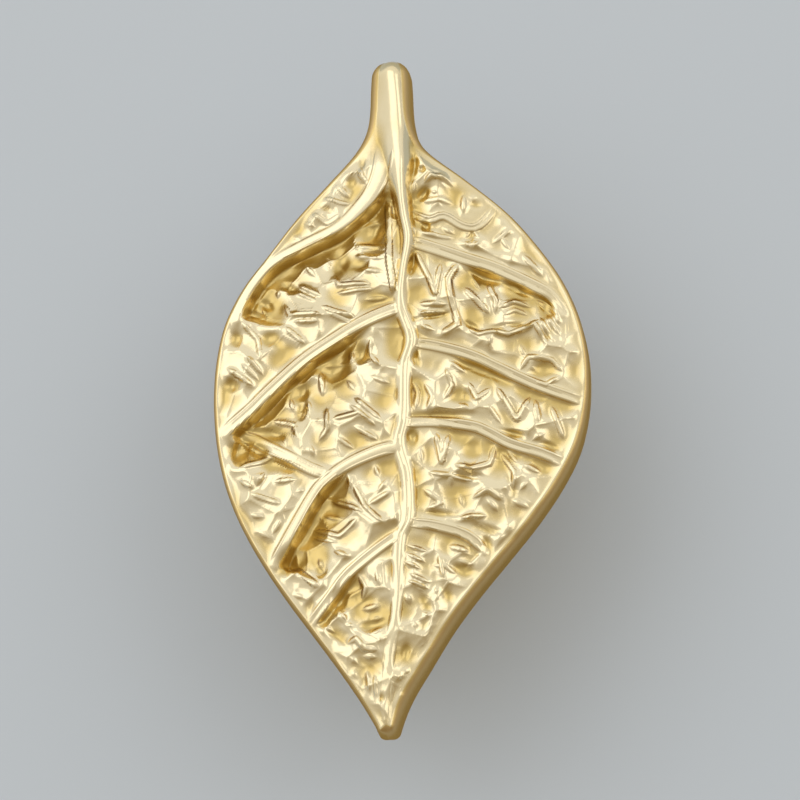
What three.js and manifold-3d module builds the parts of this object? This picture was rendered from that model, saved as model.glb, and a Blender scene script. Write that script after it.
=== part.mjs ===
// A drawer pull cast in brass as one veined leaf, with its post in the same piece.
// Millimetres, +Z up. The post's axis is the Y axis and its mounting face lies on Y = 0.
// The leaf hangs from its stem, with the tip down, and its veined face looks along -Y.
import * as THREE from 'three';
import { mergeVertices } from 'three/addons/utils/BufferGeometryUtils.js';
import Module from 'manifold-3d';

// Overall sizes of the leaf
const leafLength = 79.3; // from the end of the stem to the tip
const leafWidth = 42.8; // across the widest place
const rimReach = 22.5; // from the mounting face to the front edge of the rim
const rimThickness = 4.1;
const crownRise = 0.9; // how far the middle of the blade stands in front of its rim
const tipDrop = 1.1; // how far the tip bends back
const tipBendLength = 26; // the length of blade that takes part in that bend

// Rounded corners of the section: along the blade, and on the bar of the stem
const rimFrontInset = 0.45;
const rimFrontDepth = 0.55;
const rimBackInset = 0.9;
const rimBackDepth = 1.0;
const stemInset = 1.0;
const stemFrontDepth = 1.2;
const stemBackDepth = 1.4;
const cornerLimit = 0.22; // the most that a corner may take of the width, near the tip
const stemEndLength = 2.2; // the rounded end of the stem
const stemFoot = 31; // height where the bar of the stem starts to widen into the blade
const shoulder = 25; // height where that widening is done
const tipRounding = 0.25; // how far the blunt end of the tip bulges
const backHollow = 0.9; // how deep the middle of the back is hollowed

// Where the midrib stands higher than this, no trough reaches it
const ribFoot = 0.5;

// The raised bead that follows the margin
const beadHeight = 0.3;
const beadHalfWidth = 0.6;
const beadFromEdge = 0.6;
const calmFrom = 0.4; // between these distances from the margin the relief rises to its full height
const calmTo = 2.2;

// Lateral veins: the flat-topped band, and the trough that falls away on its tipward side
const veinEndShare = 0.75; // the height left at the vein's end
const veinCalmShare = 0.5; // and beside the margin
const bandTapers = 0.5; // the share of its length over which a band narrows
const troughCloses = 0.95; // the share of its length where a trough starts to close
const cliffStart = -0.35; // where the cliff starts and ends, counted from the edge of the band
const cliffEnd = 0.5;

// Places are laid out as they show from a little below and from the right, so one that stands in
// front of the rim's plane is looked up this far aside for each millimetre of its height
const asideX = -0.105;
const asideZ = 0.275;
const meanRelief = 0.3;

// The wrinkles between the veins
const wrinkleHalfWidth = 0.5;
const wrinkleHeight = 0.42;
const wrinkleFade = 0.7; // the length over which a wrinkle runs out at its ends
const wrinkleEndShare = 0.35; // the height left there
const wrinkleCalmShare = 0.3; // and beside the margin

// The post and its tapped blind hole
const postFaceRadius = 6;
const postFaceEdge = 0.4; // chamfer round the mounting face
const postFootLength = 2.4; // the full-width foot next to the mounting face
const postWaistRadius = 5;
const flareRadius = 3.4; // where the post flares out into the back of the blade
const flareAngle = THREE.MathUtils.degToRad(60);
const postRoot = 1.1; // how deep the post is rooted in the blade
const screwHoleRadius = 1.65; // tapping size of an M4 thread
const screwHoleDepth = 12;
const screwHoleMouth = 0.5; // countersink at the mouth
const drillPointLength = 1;

// How finely the surface is divided
const sideColumns = 24; // from the midrib to either margin
const backColumns = 6;
const rowStep = 0.98;
const stemEndRows = 4;
const postSegments = 36;
const flareSteps = 5;
const curveStep = 0.9;

// The outline as drawn on the leaf: height above the post's axis, left edge, right edge
const outline = [
  [39.0, -3.3, 1.0],
  [36.0, -3.45, 1.2],
  [31.0, -3.8, 1.6],
  [28.0, -5.1, 2.9],
  [24.0, -8.5, 7.7],
  [20.0, -12.0, 12.3],
  [16.0, -15.0, 15.7],
  [12.0, -18.0, 18.4],
  [8.0, -20.0, 20.2],
  [4.0, -20.95, 21.2],
  [0.0, -21.3, 21.5],
  [-4.0, -21.2, 21.2],
  [-8.0, -20.7, 20.2],
  [-12.0, -19.7, 18.2],
  [-16.0, -18.1, 15.5],
  [-20.0, -15.9, 12.3],
  [-24.0, -13.3, 9.0],
  [-28.0, -10.4, 6.0],
  [-32.0, -7.5, 3.5],
  [-36.0, -4.8, 1.1],
  [-39.2, -2.85, -0.35],
  [-40.3, -2.3, -0.75],
];

// The midrib: its course, with the half width on either side and the height of its ridge
const midrib = [
  { z: 39, x: -0.9, left: 2.4, right: 1.9, height: 1.2 },
  { z: 35, x: -0.4, left: 2.7, right: 1.6, height: 1.4 },
  { z: 31, x: -0.1, left: 2.9, right: 1.7, height: 1.5 },
  { z: 27, x: 0.1, left: 2.6, right: 1.5, height: 1.5 },
  { z: 24.5, x: 0.1, left: 1.9, right: 1.4, height: 1.4 },
  { z: 22, x: 0.2, left: 1.2, right: 1.3, height: 1.25 },
  { z: 20, x: 0.45, left: 1.1, right: 1.2, height: 1.05 },
  { z: 17.2, x: 0.9, left: 1.1, right: 1.1, height: 0.95 },
  { z: 13.5, x: 0.35, left: 1, right: 1, height: 0.85 },
  { z: 9.5, x: 0.1, left: 1, right: 0.95, height: 0.75 },
  { z: 5.4, x: 1.3, left: 0.95, right: 0.9, height: 0.7 },
  { z: 2.5, x: 0.6, left: 0.95, right: 0.9, height: 0.65 },
  { z: -4, x: 0.4, left: 0.95, right: 0.9, height: 0.6 },
  { z: -6.8, x: -0.1, left: 0.95, right: 0.9, height: 0.55 },
  { z: -10.5, x: 0.8, left: 0.95, right: 0.9, height: 0.55 },
  { z: -15.6, x: 0.9, left: 0.95, right: 0.9, height: 0.55 },
  { z: -17.8, x: 0, left: 0.9, right: 0.85, height: 0.5 },
  { z: -25, x: -0.3, left: 0.75, right: 0.7, height: 0.45 },
  { z: -31, x: -1.1, left: 0.7, right: 0.65, height: 0.35 },
  { z: -37, x: -1.7, left: 0.5, right: 0.5, height: 0.15 },
  { z: -40.3, x: -1.55, left: 0.5, right: 0.5, height: 0 },
];

// The lateral veins, each from the midrib to the margin, left side first. Each is a raised band,
// with its half width where it starts and further on. On its tipward side the surface falls by
// the drop into a trough of the given reach, which opens between two shares of the length.
const veins = [
  {
    course: [
      [-1.7, 28], [-2.1, 25.5], [-3, 23.2], [-4.4, 21.3], [-7, 18.9],
      [-10.8, 17], [-14.6, 15], [-16.6, 12.9], [-17.9, 10.8], [-18.8, 8.4],
    ],
    height: 0.5,
    band: [1.25, 0.6],
    drop: 1.8,
    reach: 8,
    opens: [0.14, 0.22],
  },
  {
    course: [[-0.1, 9.2], [-3, 8.1], [-5, 7.1], [-7, 5.9], [-11, 3.2], [-15, -0.4], [-17, -2.4], [-20, -5]],
    height: 0.5,
    band: [0.75, 0.75],
    drop: 1.7,
    reach: 8,
    opens: [0.12, 0.36],
  },
  {
    course: [
      [-0.5, -7.3], [-2.5, -7.7], [-6, -9.2], [-8.7, -11.2], [-10, -12.9], [-12, -16.4], [-14.3, -20.6],
    ],
    height: 0.5,
    band: [0.8, 0.65],
    drop: 1.6,
    reach: 7,
    opens: [0.25, 0.5],
  },
  {
    course: [[-0.2, -17.4], [-3, -19.4], [-6, -22], [-8, -24.7], [-10.2, -27.6]],
    height: 0.35,
    band: [0.6, 0.6],
    drop: 0.8,
    reach: 6,
    opens: [0.3, 0.6],
  },
  {
    course: [[1.1, 17], [4, 16], [7.5, 14.7], [11, 13.4], [15, 11.4], [17.2, 10], [18.6, 8]],
    height: 0.3,
    band: [0.7, 0.7],
    drop: 0.5,
    reach: 5,
    opens: [0.3, 0.5],
  },
  {
    course: [[1.6, 5], [4.5, 4.4], [8, 3.3], [11, 1.8], [15, -0.2], [19, -1.8], [21, -2.5]],
    height: 0.3,
    band: [0.6, 0.6],
    drop: 0.3,
    reach: 4,
    opens: [0.1, 0.35],
  },
  {
    course: [[0.5, -4.4], [4, -4.4], [8, -5], [10, -5.8], [12.5, -7.2], [16, -8.4], [19, -9.8]],
    height: 0.3,
    band: [0.6, 0.6],
    drop: 0.25,
    reach: 4,
    opens: [0.1, 0.3],
  },
  {
    course: [[1, -16.1], [4, -16.5], [7.5, -17.7], [9.6, -19.6]],
    height: 0.28,
    band: [0.55, 0.55],
    drop: 0.3,
    reach: 4,
    opens: [0.1, 0.3],
  },
];

// The side branch of the third vein on the left
const branch = {
  course: [[-8.4, -10.1], [-10, -9.6], [-13, -7.9], [-15.5, -6.4], [-17, -5.5], [-18.8, -5]],
  height: 0.4,
  band: [0.7, 0.7],
  drop: 0.7,
  reach: 4.5,
  opens: [0.1, 0.4],
};

// The larger hollows: centre, half length, half width, lean of the long side, depth
const hollows = [
  { x: -14.5, z: 6, long: 1.2, short: 1, lean: 0, depth: 0.5 },
  { x: -19, z: 0.8, long: 1, short: 0.9, lean: 30, depth: 0.63 },
  { x: -2.8, z: 18.8, long: 1.3, short: 0.8, lean: 70, depth: 0.45 },
  { x: -7.5, z: 2, long: 1.6, short: 1.2, lean: 75, depth: 0.54 },
  { x: -11.3, z: 0, long: 1, short: 0.8, lean: 70, depth: 0.45 },
  { x: -18.3, z: -7, long: 1.6, short: 1.3, lean: 60, depth: 0.72 },
  { x: -16.3, z: -6.9, long: 1.2, short: 0.7, lean: -10, depth: 0.45 },
  { x: -13.2, z: -20.6, long: 1.7, short: 0.8, lean: 75, depth: 0.63 },
  { x: -6.9, z: -24.8, long: 1.3, short: 0.8, lean: 70, depth: 0.54 },
];

// The larger wrinkles, as short ridges between the veins
const wrinkles = [
  [[18.6, 8.2], [19.2, 6], [19.3, 3.2]],
  [[-8.6, 23.4], [-5.2, 21.3]],
  [[-10.8, 20.9], [-7.8, 19.3]],
  [[-7, 24.7], [-5, 22.9]],
  [[2.6, 24.4], [4.8, 24.4], [6.3, 23.4]],
  [[7.2, 22.9], [7.2, 19.9]],
  [[1.3, 20.3], [4.6, 20], [8, 18.4], [10.9, 20.7]],
  [[8, 18.3], [9.2, 16.8], [7.8, 15.6]],
  [[13.1, 18.4], [10.4, 16.3]],
  [[13.6, 15], [16.2, 11.9]],
  [[1.7, 15.8], [4, 10.5]],
  [[6.8, 14.5], [5.6, 11.6], [6.9, 7], [4.4, 5.5]],
  [[7, 10.4], [8, 6.6], [11.5, 5.7], [16, 7.4]],
  [[10, 12.3], [10.9, 9.6], [10.3, 6.2], [9.8, 3.7]],
  [[11, 9.6], [14.8, 9]],
  [[15.2, 9.8], [18, 6.2]],
  [[15.4, 6.9], [17.4, 3.4]],
  [[14, 1.3], [16, 3], [18.3, 1.6]],
  [[1.9, 9.4], [5.7, 9.4]],
  [[1.9, 0.8], [1.8, -3]],
  [[5.2, 2.3], [5.9, -0.2], [4.9, -1.9]],
  [[5.3, 2.2], [8.3, 0.7]],
  [[10.7, 0], [13, -4.5]],
  [[15, -1.6], [13.6, -5.2]],
  [[15.1, -1.8], [15.9, -5]],
  [[17, -2.7], [18.6, -7.2]],
  [[5.7, -5.4], [5.5, -9.2]],
  [[10.8, -7.2], [10.3, -10.2], [6.3, -9.6]],
  [[11.8, -8], [12.9, -11.4]],
  [[13.8, -9], [17.2, -10.8]],
  [[3, -10.3], [5.6, -11.3], [8.3, -11.4]],
  [[9.3, -12.3], [6.4, -14.5]],
  [[9.7, -11.2], [11.8, -13.6]],
  [[6.2, -15.4], [9.3, -15.3]],
  [[13.3, -13.3], [15, -14.8]],
  [[0.5, -19.2], [3.2, -20.6]],
  [[4.4, -19], [6.6, -22.3]],
  [[0.6, -22.2], [3.3, -23.6]],
  [[-5, 17.2], [-1.4, 16.3]],
  [[-7.2, 13.1], [-3, 12.1]],
  [[-11.9, 12.7], [-8.8, 10.6]],
  [[-9, 9.8], [-5.1, 7.9]],
  [[-12.8, 10.7], [-12.3, 8.9], [-8.7, 8]],
  [[-13.2, 7.3], [-10.7, 5]],
  [[-18.2, 8], [-16.3, 6], [-15.9, 3.4]],
  [[-19.4, 4.1], [-16, 1.3]],
  [[-5.6, 5], [-5.6, 2.8]],
  [[-9.2, 2.3], [-9, 0]],
  [[-12.6, -0.7], [-12.4, -2.5]],
  [[-14.9, -3.7], [-11.8, -4.1], [-11.7, -6]],
  [[-5.1, -1.2], [-1.8, -3.9]],
  [[-7.9, -3.9], [-4, -3]],
  [[-7, -5.3], [-3.6, -7.4]],
  [[-8.6, -2], [-8.4, -4.8], [-5.4, -8.2]],
  [[-18.4, -9.2], [-14.6, -8.4]],
  [[-16.9, -12.4], [-13.3, -13.7]],
  [[-14.6, -10.6], [-11.6, -11.2]],
  [[-5.7, -9.8], [-5.8, -12]],
  [[-8, -13.2], [-4.3, -14.2], [-1.6, -16.4]],
  [[-5.5, -11.8], [-4.3, -14.2], [-1.7, -12.7]],
  [[-10.2, -16.7], [-7, -17.8], [-4.9, -16.2]],
  [[-7.8, -19.1], [-5, -19.8]],
  [[-12.3, -20.6], [-9.1, -23.8]],
  [[-4.8, -21.6], [-4.4, -24.5]],
  [[-4.7, -26.1], [-2.2, -25.4]],
  [[-6, -29.8], [-3.8, -30.4], [-2.2, -30.6]],
];

const brass = new THREE.MeshStandardMaterial({ color: 0xe3c684, roughness: 0.24, metalness: 1 });

const mix = (a, b, share) => a + (b - a) * share;

const clampShare = (value) => Math.min(1, Math.max(0, value));

function easedShare(from, to, value) {
  const share = clampShare((value - from) / (to - from));
  return share * share * (3 - 2 * share);
}

// A smooth curve through rows whose first entry falls or rises steadily, read at one value of it
function readTable(rows, column, key) {
  const falling = rows[0][0] > rows[rows.length - 1][0];
  const passed = (row) => (falling ? row[0] > key : row[0] < key);
  let i = 0;
  while (i < rows.length - 2 && passed(rows[i + 1])) i += 1;
  const slopeAt = (k) => {
    const before = rows[Math.max(0, k - 1)];
    const after = rows[Math.min(rows.length - 1, k + 1)];
    return (after[column] - before[column]) / (after[0] - before[0]);
  };
  const [a, b] = [rows[i], rows[i + 1]];
  const span = b[0] - a[0];
  const t = clampShare((key - a[0]) / span);
  const towardsB = t * t * (3 - 2 * t);
  const leavingA = t * (1 - t) * (1 - t) * span * slopeAt(i);
  const reachingB = t * t * (t - 1) * span * slopeAt(i + 1);
  return mix(a[column], b[column], towardsB) + leavingA + reachingB;
}

const stemTop = outline[0][0];
const tipBottom = outline[outline.length - 1][0];
const drawnWidth = Math.max(...outline.map((row) => row[2])) - Math.min(...outline.map((row) => row[1]));
const acrossScale = leafWidth / drawnWidth;
const alongScale = leafLength / (stemTop - tipBottom);

const leftEdge = (z) => readTable(outline, 1, z);
const rightEdge = (z) => readTable(outline, 2, z);

const midribRows = midrib.map((place) => [place.z, place.x, place.left, place.right, place.height]);
const midribX = (z) => readTable(midribRows, 1, z);

// Share of the way from the midrib to the margin
function marginShare(x, z) {
  const rib = midribX(z);
  return x < rib ? (rib - x) / (rib - leftEdge(z)) : (x - rib) / (rightEdge(z) - rib);
}

// A course of points as a fine smooth polyline
function smoothCourse(points) {
  const curve = new THREE.SplineCurve(points.map(([x, z]) => new THREE.Vector2(x, z)));
  return curve.getSpacedPoints(Math.max(2, Math.round(curve.getLength() / curveStep)));
}

// The nearest place on a course: how far off it is, on which hand, and how far along
function nearestOn(course, x, z) {
  const best = { distance: Infinity, hand: 1, along: 0, length: 0 };
  for (let i = 0; i < course.length - 1; i += 1) {
    const dx = course[i + 1].x - course[i].x;
    const dz = course[i + 1].y - course[i].y;
    const length = Math.hypot(dx, dz);
    const px = x - course[i].x;
    const pz = z - course[i].y;
    const t = clampShare((px * dx + pz * dz) / (length * length));
    const distance = Math.hypot(px - t * dx, pz - t * dz);
    if (distance < best.distance) {
      best.distance = distance;
      best.hand = Math.sign(dx * pz - dz * px) || 1;
      best.along = best.length + t * length;
    }
    best.length += length;
  }
  return best;
}

// The tip lies on one hand of a vein that runs left, and on the other of one that runs right
const veinCourses = [...veins, branch].map((vein) => ({
  ...vein,
  line: smoothCourse(vein.course),
  tipHand: Math.sign(vein.course[0][0] - vein.course[1][0]),
}));

const hollowPlaces = hollows.map(({ lean, ...hollow }) => {
  const angle = THREE.MathUtils.degToRad(lean);
  return { ...hollow, c: Math.cos(angle), s: Math.sin(angle) };
});

const wrinkleCourses = wrinkles.map((points) => {
  const line = smoothCourse(points);
  const box = new THREE.Box2().setFromPoints(line).expandByScalar(4 * wrinkleHalfWidth);
  return { line, box };
});

// A rounded and a flat-topped ridge of the given half width, one high at the crest
const ridge = (distance, halfWidth) => 1 / (1 + (distance / halfWidth) ** 2) ** 1.5;
const flatRidge = (distance, halfWidth) => 1 / (1 + (distance / halfWidth) ** 4);

function midribHeight(x, z) {
  const offset = x - midribX(z);
  const halfWidth = readTable(midribRows, offset < 0 ? 2 : 3, z);
  const height = readTable(midribRows, 4, z);
  const share = Math.abs(offset) / halfWidth;
  return share < 1 ? height * Math.cos(share * (Math.PI / 2)) ** 1.5 : 0;
}

// Bands of the veins, and the troughs beside them
function veinRelief(x, z) {
  let crest = 0;
  let trough = 0;
  for (const vein of veinCourses) {
    const near = nearestOn(vein.line, x, z);
    const share = near.along / near.length;
    const band = mix(...vein.band, easedShare(0, bandTapers, share));
    crest = Math.max(crest, vein.height * mix(1, veinEndShare, share) * flatRidge(near.distance, band));
    if (near.hand === vein.tipHand) {
      const fall = easedShare(band + cliffStart, band + cliffEnd, near.distance);
      const rise = 1 - easedShare(band + cliffEnd, vein.reach, near.distance);
      const ends = easedShare(...vein.opens, share) * (1 - easedShare(troughCloses, 1, share));
      trough = Math.max(trough, vein.drop * fall * rise * ends);
    }
  }
  return { crest, trough };
}

function wrinkleRelief(x, z) {
  const place = new THREE.Vector2(x, z);
  let height = 0;
  for (const { line, box } of wrinkleCourses) {
    if (!box.containsPoint(place)) continue;
    const near = nearestOn(line, x, z);
    const fade = easedShare(0, wrinkleFade, Math.min(near.along, near.length - near.along));
    const crest = wrinkleHeight * mix(wrinkleEndShare, 1, fade) * ridge(near.distance, wrinkleHalfWidth);
    height = Math.max(height, crest);
  }
  return height;
}

function hollowRelief(x, z) {
  const depths = hollowPlaces.map((hollow) => {
    const across = (x - hollow.x) * hollow.c + (z - hollow.z) * hollow.s;
    const up = (z - hollow.z) * hollow.c - (x - hollow.x) * hollow.s;
    return hollow.depth * Math.exp(-(((across / hollow.long) ** 2 + (up / hollow.short) ** 2) ** 1.5));
  });
  return Math.max(...depths);
}

// How far the leaf bends back towards its tip, front and back alike
const bend = (z) => -tipDrop * clampShare((tipBottom + tipBendLength - z) / tipBendLength) ** 2;

// Distance to the nearer margin, measured square to it
function fromMargin(x, z) {
  const probe = 0.5;
  const distances = [leftEdge, rightEdge].map((edge) => {
    const slant = (edge(z + probe) - edge(z - probe)) / (2 * probe);
    return Math.abs(edge(z) - x) / Math.hypot(1, slant);
  });
  return Math.min(...distances);
}

const bladeShare = (z) => 1 - easedShare(shoulder, stemFoot, z);

// How far the blade bulges in front of the plane of the rim
const crown = (x, z) => crownRise * (1 - clampShare(marginShare(x, z)) ** 2) * bladeShare(z);

// How far the smooth blade stands in front of the plane in which its places are laid out
const lift = (x, z) => (crown(x, z) + bend(z) + meanRelief) * bladeShare(z);

// How far the front stands in front of the plane of the rim
function frontHeight(x, z) {
  const blade = bladeShare(z);
  const edge = fromMargin(x, z);
  const calm = easedShare(calmFrom, calmTo, edge);
  const laidOut = [x + asideX * lift(x, z), z + asideZ * lift(x, z)];
  const rib = midribHeight(...laidOut);
  const { crest, trough } = veinRelief(...laidOut);
  const bead = beadHeight * blade * ridge(edge - beadFromEdge, beadHalfWidth);
  const vein = crest * mix(veinCalmShare, 1, calm) * blade;
  const fold = wrinkleRelief(...laidOut) * mix(wrinkleCalmShare, 1, calm) * blade;
  const offRib = blade * (1 - clampShare(rib / ribFoot));
  const floor = (trough + hollowRelief(...laidOut)) * calm * offRib;
  return bend(z) + crown(x, z) - floor + Math.max(rib, vein, bead, fold);
}

// The guides of one half, by their height at the midrib: rows of [share of the way to the
// margin, height]. Each vein is a guide, so that its ridge lies along a row of the surface.
const guideLimits = [0.05, 0.9];
const guideSlack = 0.1; // how far a guide may rise above where it starts
const flatGuide = (z) => ({ root: z, rows: [[0, z], [1, z]] });

function veinGuide({ course }) {
  const real = course.map(([x, z]) => [x - asideX * lift(x, z), z - asideZ * lift(x, z)]);
  const root = Math.min(real[0][1], shoulder);
  const places = real.map(([x, z]) => [marginShare(x, z), z])
    .filter(([share, z]) => share > guideLimits[0] && share < guideLimits[1] && z < root + guideSlack);
  const [before, last] = places.slice(-2);
  const slope = (last[1] - before[1]) / (last[0] - before[0]);
  return { root, rows: [[0, root], ...places, [1, last[1] + (1 - last[0]) * slope]] };
}

function guidesOf(hand) {
  const own = veins.filter(({ course }) => Math.sign(course[1][0]) === hand).map(veinGuide);
  return [flatGuide(stemTop), flatGuide(stemFoot), ...own, flatGuide(tipBottom)];
}

const guides = { left: guidesOf(-1), right: guidesOf(1) };

// The row that starts at one height on the midrib: its height some share of the way to a margin
function rowHeight(side, share, root) {
  const list = guides[side];
  let i = 0;
  while (i < list.length - 2 && list[i + 1].root > root) i += 1;
  const t = (root - list[i].root) / (list[i + 1].root - list[i].root);
  return mix(readTable(list[i].rows, 1, share), readTable(list[i + 1].rows, 1, share), t);
}

// Columns lie closer together beside the midrib and beside the margin
const columnShare = (i) => mix(i / sideColumns, (1 - Math.cos((Math.PI * i) / sideColumns)) / 2, 0.5);

// One closed row round the leaf
function section({ root, scale }) {
  const stemShare = easedShare(shoulder, stemFoot, root);
  const frontDepth = mix(rimFrontDepth, stemFrontDepth, stemShare);
  const backDepth = mix(rimBackDepth, stemBackDepth, stemShare);
  const heights = { left: rowHeight('left', 1, root), right: rowHeight('right', 1, root) };
  const insetAt = (inset, z) => {
    const most = (rightEdge(z) - leftEdge(z)) * cornerLimit;
    return Math.min(mix(inset, stemInset, stemShare), most);
  };
  const points = [];
  const frontPoint = (side, share) => {
    const z = rowHeight(side, share, root);
    const inset = insetAt(rimFrontInset, z);
    const edge = side === 'left' ? leftEdge(z) + inset : rightEdge(z) - inset;
    const x = mix(midribX(z), edge, share);
    points.push([x, frontHeight(x, z), z]);
  };
  const wallPoint = (side, depth) => {
    const z = heights[side];
    points.push([side === 'left' ? leftEdge(z) : rightEdge(z), bend(z) - depth, z]);
  };
  for (let i = sideColumns; i > 0; i -= 1) frontPoint('left', columnShare(i));
  for (let i = 0; i <= sideColumns; i += 1) frontPoint('right', columnShare(i));
  wallPoint('right', frontDepth);
  wallPoint('right', rimThickness - backDepth);
  for (let i = 0; i <= backColumns; i += 1) {
    const share = i / backColumns;
    const z = mix(heights.right, heights.left, share);
    const inset = insetAt(rimBackInset, z);
    const hollow = backHollow * (1 - (2 * share - 1) ** 2) * (1 - stemShare);
    points.push([mix(rightEdge(z) - inset, leftEdge(z) + inset, share), bend(z) + hollow - rimThickness, z]);
  }
  wallPoint('left', rimThickness - backDepth);
  wallPoint('left', frontDepth);
  const core = -rimThickness / 2;
  const middle = (leftEdge(root) + rightEdge(root)) / 2;
  return points.map(([x, height, z]) => new THREE.Vector3(
    (middle + (x - middle) * scale) * acrossScale,
    -(rimReach + core + (height - core) * scale),
    z * alongScale,
  ));
}

// The rows by their height on the midrib, with their scale where the stem's end is rounded off
function stations() {
  const list = [];
  for (let i = 1; i < stemEndRows; i += 1) {
    const angle = (i / stemEndRows) * (Math.PI / 2);
    list.push({ root: stemTop - stemEndLength * (1 - Math.cos(angle)), scale: Math.sin(angle) });
  }
  const roots = [...guides.left, ...guides.right].map((guide) => guide.root);
  const below = [...new Set(roots)].filter((root) => root < stemTop).sort((a, b) => b - a);
  const stops = [stemTop - stemEndLength, ...below];
  for (let k = 0; k < stops.length - 1; k += 1) {
    const [upper, lower] = [stops[k], stops[k + 1]];
    const gaps = ['left', 'right'].map((side) => rowHeight(side, 1, upper) - rowHeight(side, 1, lower));
    const gap = ((gaps[0] + gaps[1]) / 2 + upper - lower) / 2;
    const rows = Math.max(1, Math.round(gap / rowStep));
    for (let i = 0; i < rows; i += 1) list.push({ root: mix(upper, lower, i / rows), scale: 1 });
  }
  list.push({ root: tipBottom, scale: 1 });
  return list;
}

// The leaf with its stem, lofted through the rows and closed at both ends
function leafGeometry() {
  const rings = stations().map(section);
  const size = rings[0].length;
  const points = rings.flat();
  const faces = [];
  for (let r = 0; r < rings.length - 1; r += 1) {
    for (let i = 0; i < size; i += 1) {
      const next = (i + 1) % size;
      const [a, b] = [r * size + i, r * size + next];
      const [c, d] = [a + size, b + size];
      const isShorter = points[c].distanceTo(points[b]) < points[a].distanceTo(points[d]);
      faces.push(...(isShorter ? [a, c, b, b, c, d] : [a, c, d, a, d, b]));
    }
  }
  const closeEnd = (ring, first, height, isTop) => {
    const centre = ring.reduce((sum, point) => sum.add(point), new THREE.Vector3()).divideScalar(size);
    centre.z = height * alongScale;
    const hub = points.push(centre) - 1;
    for (let i = 0; i < size; i += 1) {
      const [a, b] = [first + i, first + ((i + 1) % size)];
      faces.push(hub, isTop ? a : b, isTop ? b : a);
    }
  };
  closeEnd(rings[0], 0, stemTop, true);
  closeEnd(rings[rings.length - 1], (rings.length - 1) * size, tipBottom - tipRounding, false);
  const geometry = new THREE.BufferGeometry();
  geometry.setAttribute('position', new THREE.Float32BufferAttribute(points.flatMap((p) => p.toArray()), 3));
  geometry.setIndex(faces);
  return geometry;
}

// The turned post, with its blind hole open at the mounting face
function postGeometry() {
  const back = rimReach - rimThickness + backHollow;
  const flareStart = back - flareRadius * Math.sin(flareAngle);
  const flare = [];
  for (let i = flareSteps; i >= 0; i -= 1) {
    const angle = (i / flareSteps) * flareAngle;
    flare.push([
      postWaistRadius + flareRadius * (1 - Math.cos(angle)),
      -(flareStart + flareRadius * Math.sin(angle)),
    ]);
  }
  const profile = [
    [0, -(back + postRoot)],
    [flare[0][0] + postRoot * Math.tan(flareAngle), -(back + postRoot)],
    ...flare,
    [postWaistRadius, -(postFootLength + (postFaceRadius - postWaistRadius))],
    [postFaceRadius, -postFootLength],
    [postFaceRadius, -postFaceEdge],
    [postFaceRadius - postFaceEdge, 0],
    [screwHoleRadius + screwHoleMouth, 0],
    [screwHoleRadius, -screwHoleMouth],
    [screwHoleRadius, -screwHoleDepth],
    [0, -(screwHoleDepth + drillPointLength)],
  ];
  return new THREE.LatheGeometry(profile.map(([r, y]) => new THREE.Vector2(r, y)), postSegments);
}

const wasm = await Module();
wasm.setup();

function solidFrom(geometry) {
  const bare = new THREE.BufferGeometry();
  bare.setAttribute('position', geometry.getAttribute('position'));
  bare.setIndex(geometry.getIndex());
  const welded = mergeVertices(bare, 1e-5);
  return new wasm.Manifold(new wasm.Mesh({
    numProp: 3,
    vertProperties: new Float32Array(welded.getAttribute('position').array),
    triVerts: new Uint32Array(welded.getIndex().array),
  }));
}

function geometryFrom(solid) {
  const mesh = solid.getMesh();
  const geometry = new THREE.BufferGeometry();
  geometry.setAttribute('position', new THREE.BufferAttribute(new Float32Array(mesh.vertProperties), 3));
  geometry.setIndex(new THREE.BufferAttribute(new Uint32Array(mesh.triVerts), 1));
  geometry.computeVertexNormals();
  return geometry;
}

const casting = new THREE.Mesh(
  geometryFrom(solidFrom(leafGeometry()).add(solidFrom(postGeometry()))),
  brass,
);
casting.name = 'leaf_casting';

const pull = new THREE.Group();
pull.add(casting);

export default pull;
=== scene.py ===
import math

import bpy
import numpy as np
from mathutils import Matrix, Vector


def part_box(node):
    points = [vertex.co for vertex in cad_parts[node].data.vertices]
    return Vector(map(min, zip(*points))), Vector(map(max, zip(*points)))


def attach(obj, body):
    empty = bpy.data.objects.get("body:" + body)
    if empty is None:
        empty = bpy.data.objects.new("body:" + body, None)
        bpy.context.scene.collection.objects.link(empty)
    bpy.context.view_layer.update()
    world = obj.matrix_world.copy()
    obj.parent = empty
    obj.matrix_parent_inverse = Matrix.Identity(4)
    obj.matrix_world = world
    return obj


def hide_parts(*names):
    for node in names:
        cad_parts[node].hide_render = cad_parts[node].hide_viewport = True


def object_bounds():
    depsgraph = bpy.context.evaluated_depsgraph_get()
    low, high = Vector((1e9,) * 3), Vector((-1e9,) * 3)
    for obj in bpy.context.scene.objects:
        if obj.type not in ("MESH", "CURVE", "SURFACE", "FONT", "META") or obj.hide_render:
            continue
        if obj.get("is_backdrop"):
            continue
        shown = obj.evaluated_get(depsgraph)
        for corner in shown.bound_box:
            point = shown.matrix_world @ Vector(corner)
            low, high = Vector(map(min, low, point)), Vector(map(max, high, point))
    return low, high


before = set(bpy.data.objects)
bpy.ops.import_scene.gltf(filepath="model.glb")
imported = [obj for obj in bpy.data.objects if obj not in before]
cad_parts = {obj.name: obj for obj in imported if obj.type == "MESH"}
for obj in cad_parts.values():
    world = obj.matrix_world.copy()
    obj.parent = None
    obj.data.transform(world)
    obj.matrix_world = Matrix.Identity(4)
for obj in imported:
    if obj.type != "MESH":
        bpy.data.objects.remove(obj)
cad_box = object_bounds()

# Lengths in this script are millimetres, and turn to metres where a mesh or a lamp is made.
MM = 0.001

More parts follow.
